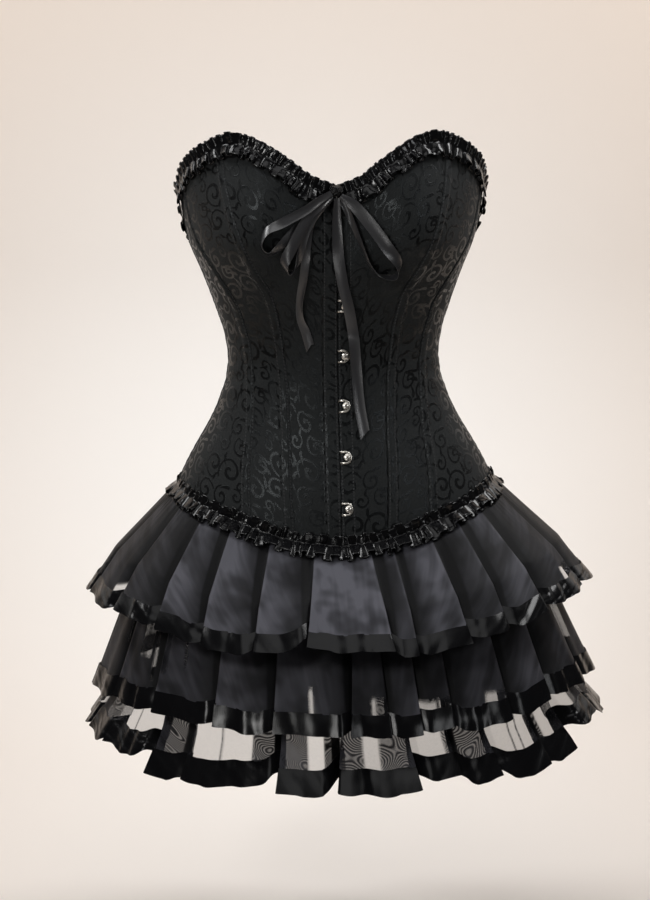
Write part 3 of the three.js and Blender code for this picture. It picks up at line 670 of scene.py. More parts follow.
stitch_row, given, result = new_group(
    "stitch_row", {"Across": 0.0, "Along": 0.0, "Row": 2.0, "Pitch": 3.4, "Thread": 0.75},
    ["Mask", "Dip"])
side = abs(given["Across"] - given["Row"])
step = calc(stitch_row, "FRACT", given["Along"] / given["Pitch"])
on_line = soft_step(stitch_row, side, given["Thread"] * 0.5, given["Thread"], 1.0, 0.0)
on_stitch = soft_step(stitch_row, abs(step - 0.5), *STITCH_END, 1.0, 0.0)
dip = soft_step(stitch_row, side, *STITCH_DIP, 1.0, 0.0)
wire_all(stitch_row, result, {"Mask": on_line * on_stitch, "Dip": dip})
print("group:", stitch_row.name)

# %% [markdown]
# ## Brocade
# The ground is matt and scatters light, so it is rough with a little sheen; the figure is satin,
# darker head on and bright where a lamp glances off it. The threads, the edge of the figure and the
# stitch rows are bumps. Each panel is cut from another place in the cloth, as a real one is.

# %% Brocade material
GROUND_COLOUR = (0.0162, 0.0172, 0.0174, 1)
FIGURE_COLOUR = (0.0012, 0.0012, 0.0014, 1)
# the stitch thread, painted lighter as a painted highlight
THREAD_GLINT_COLOUR = (0.034, 0.034, 0.035, 1)
GLANCE_TINT = (0.9, 0.97, 1.0, 1)
GROUND_ROUGHNESS, FIGURE_ROUGHNESS = 0.85, 0.33
CHANNEL_ROWS = (1.7, 8.7)
CASING_ROWS = (2.0, 13.0)


def brocade_material(name, shift, rows):
    """Brocade cut from its own place, with stitch rows at those distances from the seam."""
    material, tree, shader = new_material(name)
    place = vector(tree, "ADD", cloth_map(tree), shift)
    figure = use_group(tree, scrolls, Place=place)["Mask"]
    threads = use_group(tree, weave, Place=place, Width=0.5, Uneven=0.8)
    across = mark(tree, "from_seam")
    along = split(tree, cloth_map(tree))["Y"] / MM
    stitches = [use_group(tree, stitch_row, Across=across, Along=along, Row=row) for row in rows]
    thread, dip = (highest(tree, [row[key] for row in stitches]) for key in ("Mask", "Dip"))
    slub = soft_step(tree, threads["Slub"], 0.35, 0.7, 0.0, 0.35)
    ground = blend(tree, slub, GROUND_COLOUR, FIGURE_COLOUR)
    cloth = blend(tree, figure, ground, FIGURE_COLOUR)
    height = figure * 0.9 + threads["Height"] * 0.12 + thread * 1.2 - dip * 1.2
    wire_all(tree, shader, {
        # The stitch thread takes its painted highlight colour.
        "Base Color": blend(tree, thread, cloth, THREAD_GLINT_COLOUR),
        "Roughness": soft_step(tree, figure, 0.0, 1.0, GROUND_ROUGHNESS, FIGURE_ROUGHNESS),
        "Sheen Weight": 0.03,
        "Sheen Roughness": 0.5,
        "Specular IOR Level": 0.3,
        "Specular Tint": GLANCE_TINT,
        "Normal": bump(tree, height, strength=0.6, depth=0.15),
    })
    return material


print("brocade: stitch rows at", CHANNEL_ROWS, "and", CASING_ROWS, "mm")

# %% [markdown]
# ## Satin, organza and metal
# Satin floats its threads over one another, so it mirrors light softly along them: dark, smooth
# and bright in streaks. Organza is sheer: light passes between its threads, and where a fold lays
# several layers over each other it turns nearly black, so the cloth carries a mark of its layers.
# The busk is nickel plated, polished and finely scratched by wear.

# %% Satin, organza and metal materials
SATIN_COLOUR = (0.0025, 0.0025, 0.003, 1)
RIBBON_COLOUR = (0.018, 0.018, 0.02, 1)
# how much lighter the satin is painted along its streaks, a painted sheen
SATIN_STREAK_SHEEN = 1.8
SATIN_THREADS = 0.0018
# the organza's colour where painted lit and where painted in shade
SHEER_LIT = (0.1, 0.1, 0.118, 1)
SHEER_SHADED = (0.003, 0.003, 0.0035, 1)
SHEER_ALPHA = 0.37
SHEER_FOLD_ALPHA = 1.0
SHEER_STREAKS = (75.0, 9.0, 1.0)
RINGS = 190.0
RING_STRENGTH = 0.07
METAL_DARK = (0.66, 0.62, 0.56, 1)
METAL_LIGHT = (0.86, 0.83, 0.77, 1)


def satin_material(name, colour, smoothest, glance, dent, dents):
    """Satin: colour, lowest roughness, how strongly it mirrors, depth and rates of its dents."""
    material, tree, shader = new_material(name)
    place = cloth_map(tree)
    threads = use_group(tree, weave, Place=place, Width=0.35, Uneven=0.4)
    streaks = stretched_noise(tree, place, dents, 1.0)
    # Along the streaks the colour is painted lighter, a painted sheen.
    sheen_colour = tuple(part * SATIN_STREAK_SHEEN for part in colour[:3]) + (1,)
    height = streaks + threads["Height"] * SATIN_THREADS
    wire_all(tree, shader, {
        "Base Color": blend(tree, streaks, colour, sheen_colour),
        "Roughness": soft_step(tree, streaks, 0.2, 0.8, smoothest, smoothest + 0.1),
        "Specular IOR Level": glance,
        "Normal": bump(tree, height, strength=0.5, depth=dent),
    })
    return material


def organza_material():
    """Organza: clear where its layers are few, dark where they are many, ringed where two lie."""
    material, tree, shader = new_material("organza")
    place = cloth_map(tree)
    threads = use_group(tree, weave, Place=place, Width=0.5, Uneven=0.6)
    layers, shade = mark(tree, "layers"), mark(tree, "shade")
    streaks = stretched_noise(tree, place, SHEER_STREAKS, 2.0)
    clouds = noise(tree, place, 22.0, 2.0, Roughness=0.6)
    # Painted light and shade: the shade mark sets each face's painted light, soft streaks along the
    # cloth add a painted sheen, and clouds mottle it.
    painted_light = shade * soft_step(tree, streaks, 0.3, 0.7, 0.6, 1.3)
    painted_light = painted_light * soft_step(tree, clouds, 0.36, 0.6, 0.35, 1.2)
    rings = calc(tree, "SINE", noise(tree, place, 26.0, 0.0) * RINGS)
    doubled = soft_step(tree, layers, 0.45, 0.6) * soft_step(tree, layers, 0.85, 0.93, 1.0, 0.0)
    clear = soft_step(tree, layers, 0.0, 1.0, SHEER_ALPHA, SHEER_FOLD_ALPHA)
    slub = (threads["Slub"] - 0.5) * soft_step(tree, layers, 0.6, 0.95, 0.1, 0.0)
    wire_all(tree, shader, {
        "Base Color": blend(tree, painted_light, SHEER_SHADED, SHEER_LIT),
        "Alpha": clear + slub - rings * doubled * RING_STRENGTH,
        "Roughness": 0.5,
        "Sheen Weight": 0.02,
        "Specular IOR Level": 0.1,
        "Normal": bump(tree, threads["Height"], strength=0.3, depth=0.1),
    })
    return material


def metal_material():
    """Nickel with fine scratches that make it brighter, duller and rough."""
    material, tree, shader = new_material("nickel")
    scratches = noise(tree, add_node(tree, "TexCoord", output="Object"), 900.0, 4.0)
    wire_all(tree, shader, {
        "Metallic": 1,
        "Base Color": blend(tree, scratches, METAL_DARK, METAL_LIGHT),
        "Roughness": soft_step(tree, scratches, 0.3, 0.75, 0.24, 0.42),
        "Normal": bump(tree, scratches, strength=0.2, depth=0.05),
    })
    return material


satin = satin_material("satin", SATIN_COLOUR, 0.14, 0.2, 4.6, (38.0, 12.0, 1.0))
frill_satin = satin_material("frill_satin", SATIN_COLOUR, 0.14, 0.3, 0.4, (65.0, 18.0, 1.0))
ribbon_satin = satin_material("ribbon_satin", RIBBON_COLOUR, 0.28, 1.0, 4.0, (26.0, 11.0, 1.0))
organza, metal = organza_material(), metal_material()
print("materials:", satin.name, organza.name, metal.name)

# %% Backdrop material
# centre, stretch and reach of the painted pool of light on the paper; its colour in the middle and
# the painted falloff, darker and warmer, away from it
BACKDROP_MIDDLE = (0.0, 1.5, -0.32)
BACKDROP_STRETCH = (1.0, 0.15, 1.0)
BACKDROP_REACH = 1.25
BACKDROP_PALE = (0.95, 0.92, 0.89, 1)
BACKDROP_PAINTED_FALLOFF = (0.70, 0.60, 0.52, 1)
SWEEP_FADE = -0.5
SWEEP_SIDES = (1.3, 2.6)


def backdrop_material():
    """Paper, painted palest behind the dress as a painted pool of light. It fades at its front and
    sides and is clear from behind.
    """
    material, tree, shader = new_material("backdrop_paper")
    place = add_node(tree, "TexCoord", output="Object")
    nearer = vector(tree, "MULTIPLY", vector(tree, "SUBTRACT", place, BACKDROP_MIDDLE),
                    BACKDROP_STRETCH)
    away = vector(tree, "LENGTH", nearer, output="Value")
    behind = add_node(tree, "NewGeometry", output="Backfacing")
    parts = split(tree, place)
    seen = soft_step(tree, parts["Y"], SWEEP_FRONT, SWEEP_FADE) * soft_step(
        tree, abs(parts["X"]), *SWEEP_SIDES, 1.0, 0.0)
    wire_all(tree, shader, {
        # Painted pool of light: the paper is painted palest behind the dress and darker and warmer
        # away from it.
        "Base Color": blend(tree, soft_step(tree, away, 0.0, BACKDROP_REACH), BACKDROP_PALE,
                            BACKDROP_PAINTED_FALLOFF),
        "Roughness": 0.9,
        "Alpha": seen * (1.0 - behind),
    })
    return material


sweep.data.materials.append(backdrop_material())
print("backdrop:", sweep.data.materials[0].name)

# %% [markdown]
# ## The bodice
# Twelve panels of brocade are sewn edge to edge. Beside each seam, on the side away from the
# front, a flat bone lies in a sewn channel, and the left front also carries the busk's casing.
# Along every seam the cloth draws in and puckers a little, and at the waist it wrinkles softly
# where it bends. These small forms are added to the smooth form as height over the cloth.

# %% Bodice tables
SEAM_GAP = 0.3
SEAM_EDGE = 0.02
BROCADE_WALL = 1.2
CHANNEL_SLOPE = 1.5
CHANNEL = {"end": 9.5, "height": 0.8, "rise": (0.2, 1.7)}
CASING = {"end": 14.0, "height": 2.4, "rise": (0.05, 0.55)}
FLAT_FRONT = {"end": 14.0, "height": 0.0, "rise": (0.2, 1.7)}
PANEL_NAMES = ["front_centre", "cup_panel", "side_front", "side_back", "back_panel", "centre_back"]
PANEL_ROWS = 150
PANEL_PASSES = 24
END_FADE = 13
CHANNEL_CROWN = 0.25
SEAM_DIP = {"depth": 0.7, "width": 0.8}
PUCKER = {"height": 0.3, "length": 8.5, "reach": 5.0, "channel": 0.25, "channel_reach": 3}
LEFT_SHIFT = 3.7
CLOTH_STEP = (0.0137, 0.031)
CLOTH_JUMP = (0.021, 0.017)
CREASE_STRENGTH = 0.5
CREASE_BEND, CREASE_BEND_LENGTH = 1.2, 9
CREASE_RIDGE, CREASE_RIDGE_AWAY = 0.7, 1.7
CREASES = [
    # angle, height, tilt in degrees, half length, half width, depth
    (58, 6, 12, 26, 5, 1.3), (70, -14, -8, 30, 6, 1.5), (40, 22, 18, 20, 4.5, 0.9),
    (66, 34, 14, 24, 5, 1.0),
    (84, 14, -4, 22, 5, 1.2), (48, -30, -16, 24, 5, 0.9), (76, -38, -14, 28, 6, 1.1),
    (20, 12, 8, 14, 4, 0.6),
    (60, 62, 24, 26, 6, 0.9), (30, 78, 30, 22, 5, 0.8), (50, 88, 26, 18, 5, 0.7),
    (36, -66, -20, 22, 6, 0.7),
    (102, 4, 6, 26, 5, 1.2), (118, -20, -8, 26, 6, 1.1), (136, 12, 10, 24, 5, 1.0),
    (150, -12, -6, 20, 5, 0.9),
    (168, 18, 8, 18, 5, 0.8), (110, 44, 16, 24, 6, 0.9), (144, 50, -12, 22, 6, 0.8),
    (128, -58, 14, 26, 6, 0.8),
]


def panel_angles(index, ridge):
    """Where each column of a panel lies: functions from heights to angles."""
    near, far = seam_at[index], seam_at[index + 1]

    def from_near(distance):
        return lambda z: near(z) + distance / arc_rate(near(z), z)

    def last(z):
        return far(z) - SEAM_EDGE / arc_rate(far(z), z)

    flat = from_near(ridge["end"] + CHANNEL_SLOPE)
    close = [SEAM_EDGE, 0.6, 1.2, 1.8, 2.6, 4, 5.5, 7, ridge["end"] - 1.3, ridge["end"] - 0.4,
             ridge["end"] + 0.3, ridge["end"] + 0.9]
    if ridge["end"] > 12:
        close[8:8] = [8.6, 10.4, 11.8]
    shares = np.concatenate([np.linspace(0, 0.94, 22), [0.965, 0.98, 0.99, 1]])
    spread = [lambda z, share=share: flat(z) * (1 - share) + last(z) * share for share in shares]
    return [from_near(distance) for distance in close] + spread


def crease_height(deg, z):
    """Soft troughs with a ridge beside them, placed round the waist and under the bust."""
    height = np.zeros_like(z)
    for at_deg, at_z, tilt, reach, width, depth in CREASES:
        aside = (folded_angle(deg) - at_deg) * arc_rate(deg, z)
        upward = z - at_z
        turn = math.radians(tilt)
        along = aside * math.cos(turn) + upward * math.sin(turn)
        bend = CREASE_BEND * np.sin(along / CREASE_BEND_LENGTH + at_deg)
        over = upward * math.cos(turn) - aside * math.sin(turn) + bend
        soft = np.exp(-((along / reach) ** 2))
        ridge = CREASE_RIDGE * np.exp(-(((over - CREASE_RIDGE_AWAY * width) / width) ** 2))
        trough = -np.exp(-((over / width) ** 2)) + ridge
        height += CREASE_STRENGTH * depth * soft * trough
    return height


def pucker_wave(index, z):
    """The uneven ripple of the cloth along one seam."""
    bend = 1.9 * np.sin(z / 21 + index) + 1.1 * np.sin(z / 8.3 + 2.3 * index)
    wave = np.sin(2 * np.pi * z / PUCKER["length"] + bend + index)
    return wave * (0.7 + 0.3 * np.sin(z / 13 + 3 * index))


def panel_height(index, ridge, deg, z, up):
    """How far the cloth of a panel stands off the smooth form."""
    rate = arc_rate(deg, z)
    near = np.abs(deg - seam_at[index](z)) * rate
    far = np.abs(seam_at[index + 1](z) - deg) * rate
    rise = smooth(*ridge["rise"], near)
    ends = np.clip(up * END_FADE, 0, 1) * np.clip((1 - up) * END_FADE, 0, 1)
    over = np.clip((near - 1.5) / (ridge["end"] - 2), 0, 1)
    crown = CHANNEL_CROWN * np.clip(np.sin(np.pi * over), 0, 1)
    channel = rise * (1 - smooth(ridge["end"] - 0.3, ridge["end"] + CHANNEL_SLOPE, near))
    height = ends * channel * (ridge["height"] + (crown if ridge["height"] else 0))
    dips = [SEAM_DIP["depth"] * np.exp(-((away / SEAM_DIP["width"]) ** 2)) for away in (near, far)]
    height += -dips[0] - dips[1]
    height += PUCKER["height"] * np.exp(-near / PUCKER["reach"]) * pucker_wave(index, z)
    height += PUCKER["height"] * np.exp(-far / PUCKER["reach"]) * pucker_wave(index + 1, z)
    beside = np.exp(-np.abs(near - ridge["end"]) / PUCKER["channel_reach"])
    height += PUCKER["channel"] * beside * pucker_wave(index + 7, z)
    return height + crease_height(deg, z)


def panel_points(index, ridge, side):
    """A panel's points from hem to top edge, and each point's distance from the seam."""
    columns = panel_angles(index, ridge)
    share = np.linspace(0, 1, PANEL_ROWS)[:, None]
    deg = np.zeros((PANEL_ROWS, len(columns)))
    z = np.zeros_like(deg)
    for _ in range(PANEL_PASSES):
        for j, column in enumerate(columns):
            deg[:, j] = column(z[:, j])
        z = hem_at(deg) * (1 - share) + top_at(deg) * share
    height = panel_height(index, ridge, deg, z + (0 if side > 0 else LEFT_SHIFT), share)
    points = torso(deg, z) + torso_normal(deg, z) * height[..., None]
    from_seam = (deg - seam_at[index](z)) * arc_rate(deg, z)
    if side < 0:
        points = points[:, ::-1] * np.array([-1, 1, 1])
        from_seam = from_seam[:, ::-1]
    return points, from_seam


# %% Sew the bodice
for index, panel in enumerate(PANEL_NAMES):
    for side, word in ((1, "right"), (-1, "left")):
        ridge = CHANNEL
        if index == 0:
            ridge = FLAT_FRONT if side > 0 else CASING
        points, from_seam = panel_points(index, ridge, side)
        rows = CHANNEL_ROWS if index else CASING_ROWS
        name = f"{panel}_{word}"
        jumps = CLOTH_JUMP if side < 0 else (0, 0)
        shift = [step * index + jump for step, jump in zip(CLOTH_STEP, jumps)]
        cloth = brocade_material(f"brocade_{name}", (*shift, 0.0), rows)
        piece = cloth_grid(f"{name}_cloth", points, marks={"from_seam": from_seam})
        thicken(piece, BROCADE_WALL)
        finish_piece(piece, name, cloth)
        flat_size(points)
        grid_area(points)
print("bodice:", 2 * len(PANEL_NAMES), "panels")

# %% [markdown]
# ## The frills
# A frill is a satin ribbon gathered along a line below its middle and sewn on by that line. The
# gathers crowd together, so the cloth folds over itself in small S shapes and flares at both
# edges. The wave runs along the edge of the bodice, grows away from the sewn line, and no two
# gathers have the same width or height.

# %% Frill tables
FRILL_LINE = 1.5
FRILL_CLOTH = 0.4
FRILL_STEP = 0.5
FRILL_ROWS = 17
FRILL_STAND = 1.0
FRILL_ROOT = 0.8
FRILL_CALM = 9
FRILL_TWIST, FRILL_SLIDE, FRILL_CRUMPLE = 2.2, 3.2, 0.4
FRILL_SEEDS = {"right": 11, "left": 23}
FRILLS = {
    # each half: reach from the sewn line, width of a gather, how sharp, flare, wave of the edge,
    # loop, stand at the edge; then how much flatter and shorter the frill is at the body's sides
    "top_frill": {"above": (9.0, 8.0, 1.2, 3.0, 0.4, 0.13, 1.0),
                  "below": (13.5, 14.5, 0.8, 7.0, 1.8, 0.15, 0.6),
                  "flatter": 0.4, "shorter": 0.0},
    "hem_frill": {"above": (9.5, 11.5, 0.8, 5.0, 1.8, 0.16, -0.4),
                  "below": (17.5, 14.5, 0.8, 7.2, 2.4, 0.16, 0.6),
                  "flatter": 0.7, "shorter": 0.3},
}
FRILL_PUFFS = [(39, 8, 3.5), (24, 5, 1.5), (56, 6, 1.8), (84, 9, 2.2), (8, 4, 1.0)]


def beside_edge(edge, deg, across, lift):
    """A point off an edge of the bodice, across the edge by a distance and lifted off the cloth."""
    rate = arc_rate(deg, edge(deg))
    slope = (edge(deg + 0.5) - edge(deg - 0.5)) / rate
    lean = np.hypot(1, slope)
    z = edge(deg) + across / lean
    turned = deg - across * slope / lean / rate
    return torso(turned, z) + torso_normal(turned, z) * lift[..., None]


def edge_lengths(edge):
    """Angles from front to back along an edge, and the length to each."""
    deg = np.linspace(0, 180, 1441)
    steps = np.linalg.norm(np.diff(torso(deg, edge(deg)), axis=0), axis=1)
    return deg, np.concatenate([[0], np.cumsum(steps)])


def gathers(place, pitch, random):
    """Uneven gathers along a frill: phase, height, lean and gather's width at each place."""
    count = round(place[-1] / pitch)
    widths = random.uniform(0.45, 1.7, count)
    starts = np.concatenate([[0], np.cumsum(widths)]) / widths.sum() * place[-1]
    number = np.interp(place, starts, np.arange(count + 1))
    marks = np.arange(count + 1)
    height = np.interp(number, marks, random.uniform(0.55, 1.0, count + 1))
    lean = np.interp(number, marks, random.uniform(-1, 1, count + 1))
    width = np.interp(number, marks[:-1] + 0.5, np.diff(starts))
    return 2 * np.pi * number, height, lean, width


def frill_points(name, edge, lower, seed, side):
    """A frill's points: rows from its lower edge up, columns from the centre front to the back."""
    random = np.random.default_rng(seed)
    deg_at, length_at = edge_lengths(edge)
    total = length_at[-1]
    place = np.linspace(0, total, round(total / FRILL_STEP))
    halves = {half: gathers(place, FRILLS[name][half][1], random) for half in ("below", "above")}
    sideways = np.sin(np.radians(np.interp(place, length_at, deg_at))) ** 2
    flatter = 1 - FRILLS[name]["flatter"] * sideways
    calm = smooth(0, FRILL_CALM, np.minimum(place, total - place)) * 0.8 + 0.2
    rows = []
    for t in np.linspace(-1, 1, FRILL_ROWS):
        half = "above" if t > 0 else "below"
        phase, height, lean, width = halves[half]
        reach, _, sharp, flare, wave, loop, stand = FRILLS[name][half]
        reach = reach * (1 - FRILLS[name]["shorter"] * sideways)
        spread = np.abs(t) ** 0.75
        twist = phase + FRILL_TWIST * lean * np.abs(t) + 0.5 * np.sin(3 * t + 5 * lean)
        slide = -loop * width * spread * np.sin(2 * twist) + FRILL_SLIDE * lean * np.abs(t) ** 1.4
        deg = np.interp(np.clip(place + slide * calm, 0, total), length_at, deg_at)
        crest = (0.5 + 0.5 * np.sin(twist)) ** sharp * height * calm * flatter
        crumple = FRILL_CRUMPLE * np.sin(place * 0.8 + 4 * t)
        crumple = crumple * np.sin(place * 0.33 - 5 * t) * spread
        swell = (FRILL_ROOT + (flare - FRILL_ROOT) * spread) * crest
        lift = FRILL_STAND + stand * spread + swell + crumple
        for at, width, more in FRILL_PUFFS:
            aside = place - np.interp(at, deg_at, length_at)
            lift = lift + more * spread * np.exp(-(aside / width) ** 2)
        edge_wave = wave * (lean + 0.8 * np.sin(twist) * height) * spread * calm
        if t < 0 and lower is not None:
            rows.append(lower(deg, -t, reach, lift, edge_wave))
        else:
            line = -FRILL_LINE if lower is None else 0
            across = line + (t * (reach - line) if t > 0 else t * (reach + line))
            rows.append(beside_edge(edge, deg, across + edge_wave, lift))
    points = np.stack(rows)
    points[..., 0] = np.maximum(points[..., 0], SEAM_GAP / 2)
    points[:, 0, 0] = points[:, -1, 0] = SEAM_GAP / 2
    if side < 0:
        points = points[:, ::-1] * np.array([-1, 1, 1])
    return points, total


# %% Skirt tables
TIERS = {
    # reach and height of the hem at the side, front and back; how far down and out it bends
    "tier_1": {"inset": 0, "reach": (264, 225, 212), "lean": 3, "hem": (-242, -264, -250),
               "knee": (0.6, 0.69),
               "growth": 1.1, "hidden": 13, "rows": 40, "full": 1.0},
    "tier_2": {"inset": 1.3, "reach": (264, 225, 212), "lean": 6, "hem": (-339, -343, -340),
               "knee": (0.6, 0.65),
               "growth": 1.1, "hidden": 10, "rows": 56, "full": 0.97},
    "tier_3": {"inset": 2.6, "reach": (273, 228, 218), "lean": 7, "hem": (-377, -398, -384),
               "knee": (0.84, 0.73),
               "growth": 2, "hidden": 16, "rows": 68, "full": 0.79},
}
FOLDS = {
    # angle, half width, depth
    "tier_1": [(-60, 4, 15), (-44.7, 3, 15), (-32.3, 3, 13), (-19.5, 2.5, 12), (-8.2, 2.6, 19),
               (8, 2.5, 12),
               (13.4, 2, 11), (24.9, 3.5, 14), (35, 3, 12), (47.5, 4, 15)],
    "tier_2": [(-63.4, 4, 11), (-47, 3.5, 10), (-30, 3, 12), (-16.3, 3, 10), (0, 2.5, 14),
               (6.7, 2, 8),
               (13.4, 2.2, 10), (20.6, 2.5, 9), (34.6, 3.5, 12), (48, 3.5, 10)],
    "tier_3": [(-65, 4, 16), (-48, 3, 20), (-38, 3, 6), (-15.7, 2.5, 22), (-2.7, 3.2, 40),
               (12.1, 2.5, 22),
               (21, 2.5, 7), (30.6, 3, 14), (45, 3, 7), (56, 3.5, 24)],
}
PAINTED_FACE_LIGHT = {
    # how light each face between two folds is painted, as painted light and shade, from left to
    # right
    "tier_1": [0.22, 0.18, 0.66, 0.8, 0.6, 0.92, 0.75, 0.58, 0.36, 0.5, 0.22],
    "tier_2": [0.18, 0.24, 0.34, 0.62, 0.34, 0.2, 0.46, 0.24, 0.3, 0.45, 0.2],
    "tier_3": [0.3, 0.3, 0.3, 0.3, 0.3, 0.3, 0.3, 0.3, 0.3, 0.3, 0.3],
}
HEM_DROPS = {
    # angle, how far the hem hangs below its even line
    "tier_1": [(-180, 0), (-100, -4), (-82, -6), (-60, -4), (-52.5, -9), (-45, -4), (-38, 0),
               (-33, 5),
               (-21, 1), (-14, -3), (-9.2, -12), (-7.6, -8), (-3, -6), (6, -3), (8, 2),
               (13, 5), (21, 2),
               (26, -2), (35, -6), (48, -10), (60, -13), (72, -15), (90, -8), (110, 0), (180, 0)],
    "tier_2": [(-180, 0), (-90, 0), (-70, -4), (-51, -8), (-37, -4), (-22, -2), (-6, -2),
               (0, -1), (5, 3),
               (13, 2), (20, -1), (24, 4), (29, 1), (35, -1), (45, -7), (58, -12), (70, -14),
               (90, -6),
               (110, 0), (180, 0)],
    "tier_3": [(-180, 0), (-100, 0), (-74, 4), (-59, 0), (-49, -8), (-47, 12), (-34, 8), (-24, -3),
               (-18, -8), (-16.3, -12), (-15, 4), (-5, 2), (0, 1), (6, 4), (11, 2), (13, -5),
               (16, -7),
               (21, -3), (25, 5), (30, 4), (31, 2), (36, 8), (46, 11), (55, 10), (57, -8),
               (62, -14),
               (75, -6), (100, 0), (180, 0)],
}
CLEAR = {
    # from angle, to angle, from and to how far down: where one layer alone shows
    "tier_1": [(-66, -61.5, 0.79, 0.87), (-59.5, -58, 0.68, 0.75), (61, 66, 0.74, 0.86)],
    "tier_2": [(-66, -62, 0.55, 0.72), (-57, -52, 0.5, 0.75), (-50.5, -49.5, 0.3, 0.85),
               (-44.5, -43.5, 0.5, 0.8),
               (-40.5, -39.7, 0.45, 0.75), (-16.2, -15.2, 0.82, 0.93),
               (-9.4, -8.6, 0.76, 0.93), (3.7, 5.9, 0.8, 0.95),
               (13.4, 20.6, 0.85, 0.93), (29.8, 34.2, 0.85, 0.93), (62, 70, 0.5, 0.8)],
    "tier_3": [(-67, -47.3, 0, 1), (-38, -22.2, 0, 1), (-9.8, -6.3, 0, 1), (-2.8, -1.3, 0, 1),
               (1.9, 5.4, 0, 1),
               (12.2, 20.2, 0, 1), (30.4, 45, 0, 1), (48, 62, 0, 1)],
}
CREASE_LINES = {
    # angles of fine dark lines down a clear face
    "tier_1": [], "tier_2": [], "tier_3": [-56.5, -36.4, -29.8, 18.5, 37.8, 40.2, 55],
}
HIDDEN_FOLDS, HIDDEN_WIDTH = 14, 4
BAND_WIDTH = 22
VALLEY_RISE = 0.32
CORNER_RISE = {"tier_1": 2.0, "tier_2": 2.0, "tier_3": 3.5}
RIGHT_CLEARNESS = 0.62
FALL = 7.0
# scale of the tiers' painted light and shade
PAINTED_LIGHT_SCALE = 1.15
CLEAR_SIDE, CLEAR_END = 0.4, 0.02
CREASE_DARK, CREASE_WIDTH = 0.75, 0.35
SEAM_LAYERS = 0.9
# how deep the painted shadow beside a fold and the painted shade in its gap are, and how bright the
# painted highlight on its rolled edge is
SHADOW_DARK, GAP_PAINTED_SHADE, EDGE_PAINTED_HIGHLIGHT = 0.75, 0.95, 0.4
SKIRT_WAVES = [
    # height, waves round the body, how uneven, unevennesses round the body
    (2.2, 17, 2, 5), (1.1, 39, 2, 11),
]
SKIRT_GATHERS, GATHERS_FADE = (0.5, 130, 1.5, 23), 7
BAND_RIPPLE = (1.1, 47, 3, 13)
HEM_SOFTEN = (-1, -0.5, 0, 0.5, 1)


def round_value(deg, side, front, behind):
    """Side, front and back values blended round the body."""
    facing = np.cos(np.radians(deg))
    share = facing**2
    return side * (1 - share) + np.where(facing > 0, front, behind) * share


def tier_face(tier, deg, down):
    """The unfolded face of a tier, from the bodice's hem at 0 to its own hem at 1."""
    deg, down = np.broadcast_arrays(np.asarray(deg, float), np.asarray(down, float))
    turn = np.radians(deg)
    side, front, behind = tier["reach"]
    depth = np.where(np.cos(turn) > 0, front, behind)
    start = torso(deg, hem_at(deg) - SEAM_GAP) - torso_normal(deg, hem_at(deg)) * tier["inset"]
    hem_z = round_value(deg, *tier["hem"])
    knee_down, knee_out = tier["knee"]
    bent = knee_out + (1 - knee_out) * (down - knee_down) / (1 - knee_down)
    out = np.where(down < knee_down, down / knee_down * knee_out, bent)
    x = start[..., 0] * (1 - out) + (side * np.sin(turn) + tier["lean"]) * out
    y = start[..., 1] * (1 - out) - depth * np.cos(turn) * out
    return np.stack([x, y, start[..., 2] * (1 - down) + hem_z * down], axis=-1)


def tier_length(tier, deg):
    return np.linalg.norm(tier_face(tier, deg, 0.0) - tier_face(tier, deg, 1.0), axis=-1)


def over_skirt(deg, share, reach, lift, wave):
    """A point of the hem frill's lower half, which lies over the first tier."""
    tier = TIERS["tier_1"]
    down = share * (reach - wave) / tier_length(tier, deg)
    across = tier_face(tier, deg + 0.5, down) - tier_face(tier, deg - 0.5, down)
    along = tier_face(tier, deg, down - 0.02) - tier_face(tier, deg, down + 0.02)
    return tier_face(tier, deg, down) + unit(np.cross(across, along)) * lift[..., None]


# %% Sew on the frills
for name, edge, lower in (("top_frill", top_at, None), ("hem_frill", hem_at, over_skirt)):
    for side, word in ((1, "right"), (-1, "left")):
        points, total = frill_points(name, edge, lower, FRILL_SEEDS[word], side)
        piece = cloth_grid(f"{name}_{word}_cloth", points)
        thicken(piece, FRILL_CLOTH)
        finish_piece(piece, f"{name}_{word}", frill_satin)
        cut = gathered_cut(points)
        print(name, word, "cut %.2f m for %.2f m" % (cut[0], total * MM))

# %% [markdown]
# ## The skirt
# Three tiers of organza hang from the bodice's hem, each gathered at its top and pleated down to a
# satin ribbon along its hem. The broad faces between the folds are single and clear; inside a fold
# the cloth doubles back behind itself, so it lets less through, and its gap is painted dark as
# painted shade. Beside each fold the cloth carries a painted shadow, and its rolled edge a painted
# highlight. The same folds as the solids' run down each tier, with one edge of every fold rolled
# over it, and fine gathers fade out below the seam.

# %% Skirt cloth


def tier_folds(name):
    """Every fold of a tier, the hidden ones spread unevenly round its sides and back."""
    tier = TIERS[name]
    shown = FOLDS[name]
    last = shown[-1][0]
    step = (shown[0][0] + 360 - last) / (HIDDEN_FOLDS + 1)
    folds = list(shown)
    for i in range(1, HIDDEN_FOLDS + 1):
        place = last + (i + 0.16 * math.sin(2.1 * i + tier["inset"])) * step
        share = 1 - 0.18 * (1 - math.cos(1.9 * i + tier["inset"]))
        folds.append((place, HIDDEN_WIDTH, tier["hidden"] * share))
    return folds


FOLD_PATH = [
    # along the cloth, where it lies across the fold, how deep
    (-1, -1, 0), (-0.6, -0.72, 0.16), (-0.25, -0.35, 0.6), (0, 0, 0.96), (0.15, 0.08, 1),
    (0.3, -0.05, 0.7),
    (0.45, -0.3, 0.16), (0.6, -0.28, -0.03), (0.8, 0.3, -0.04), (1, 1, 0),
]
fold_across, fold_depth = curve(FOLD_PATH, 1), curve(FOLD_PATH, 2)
FOLD_REACH = 1.35


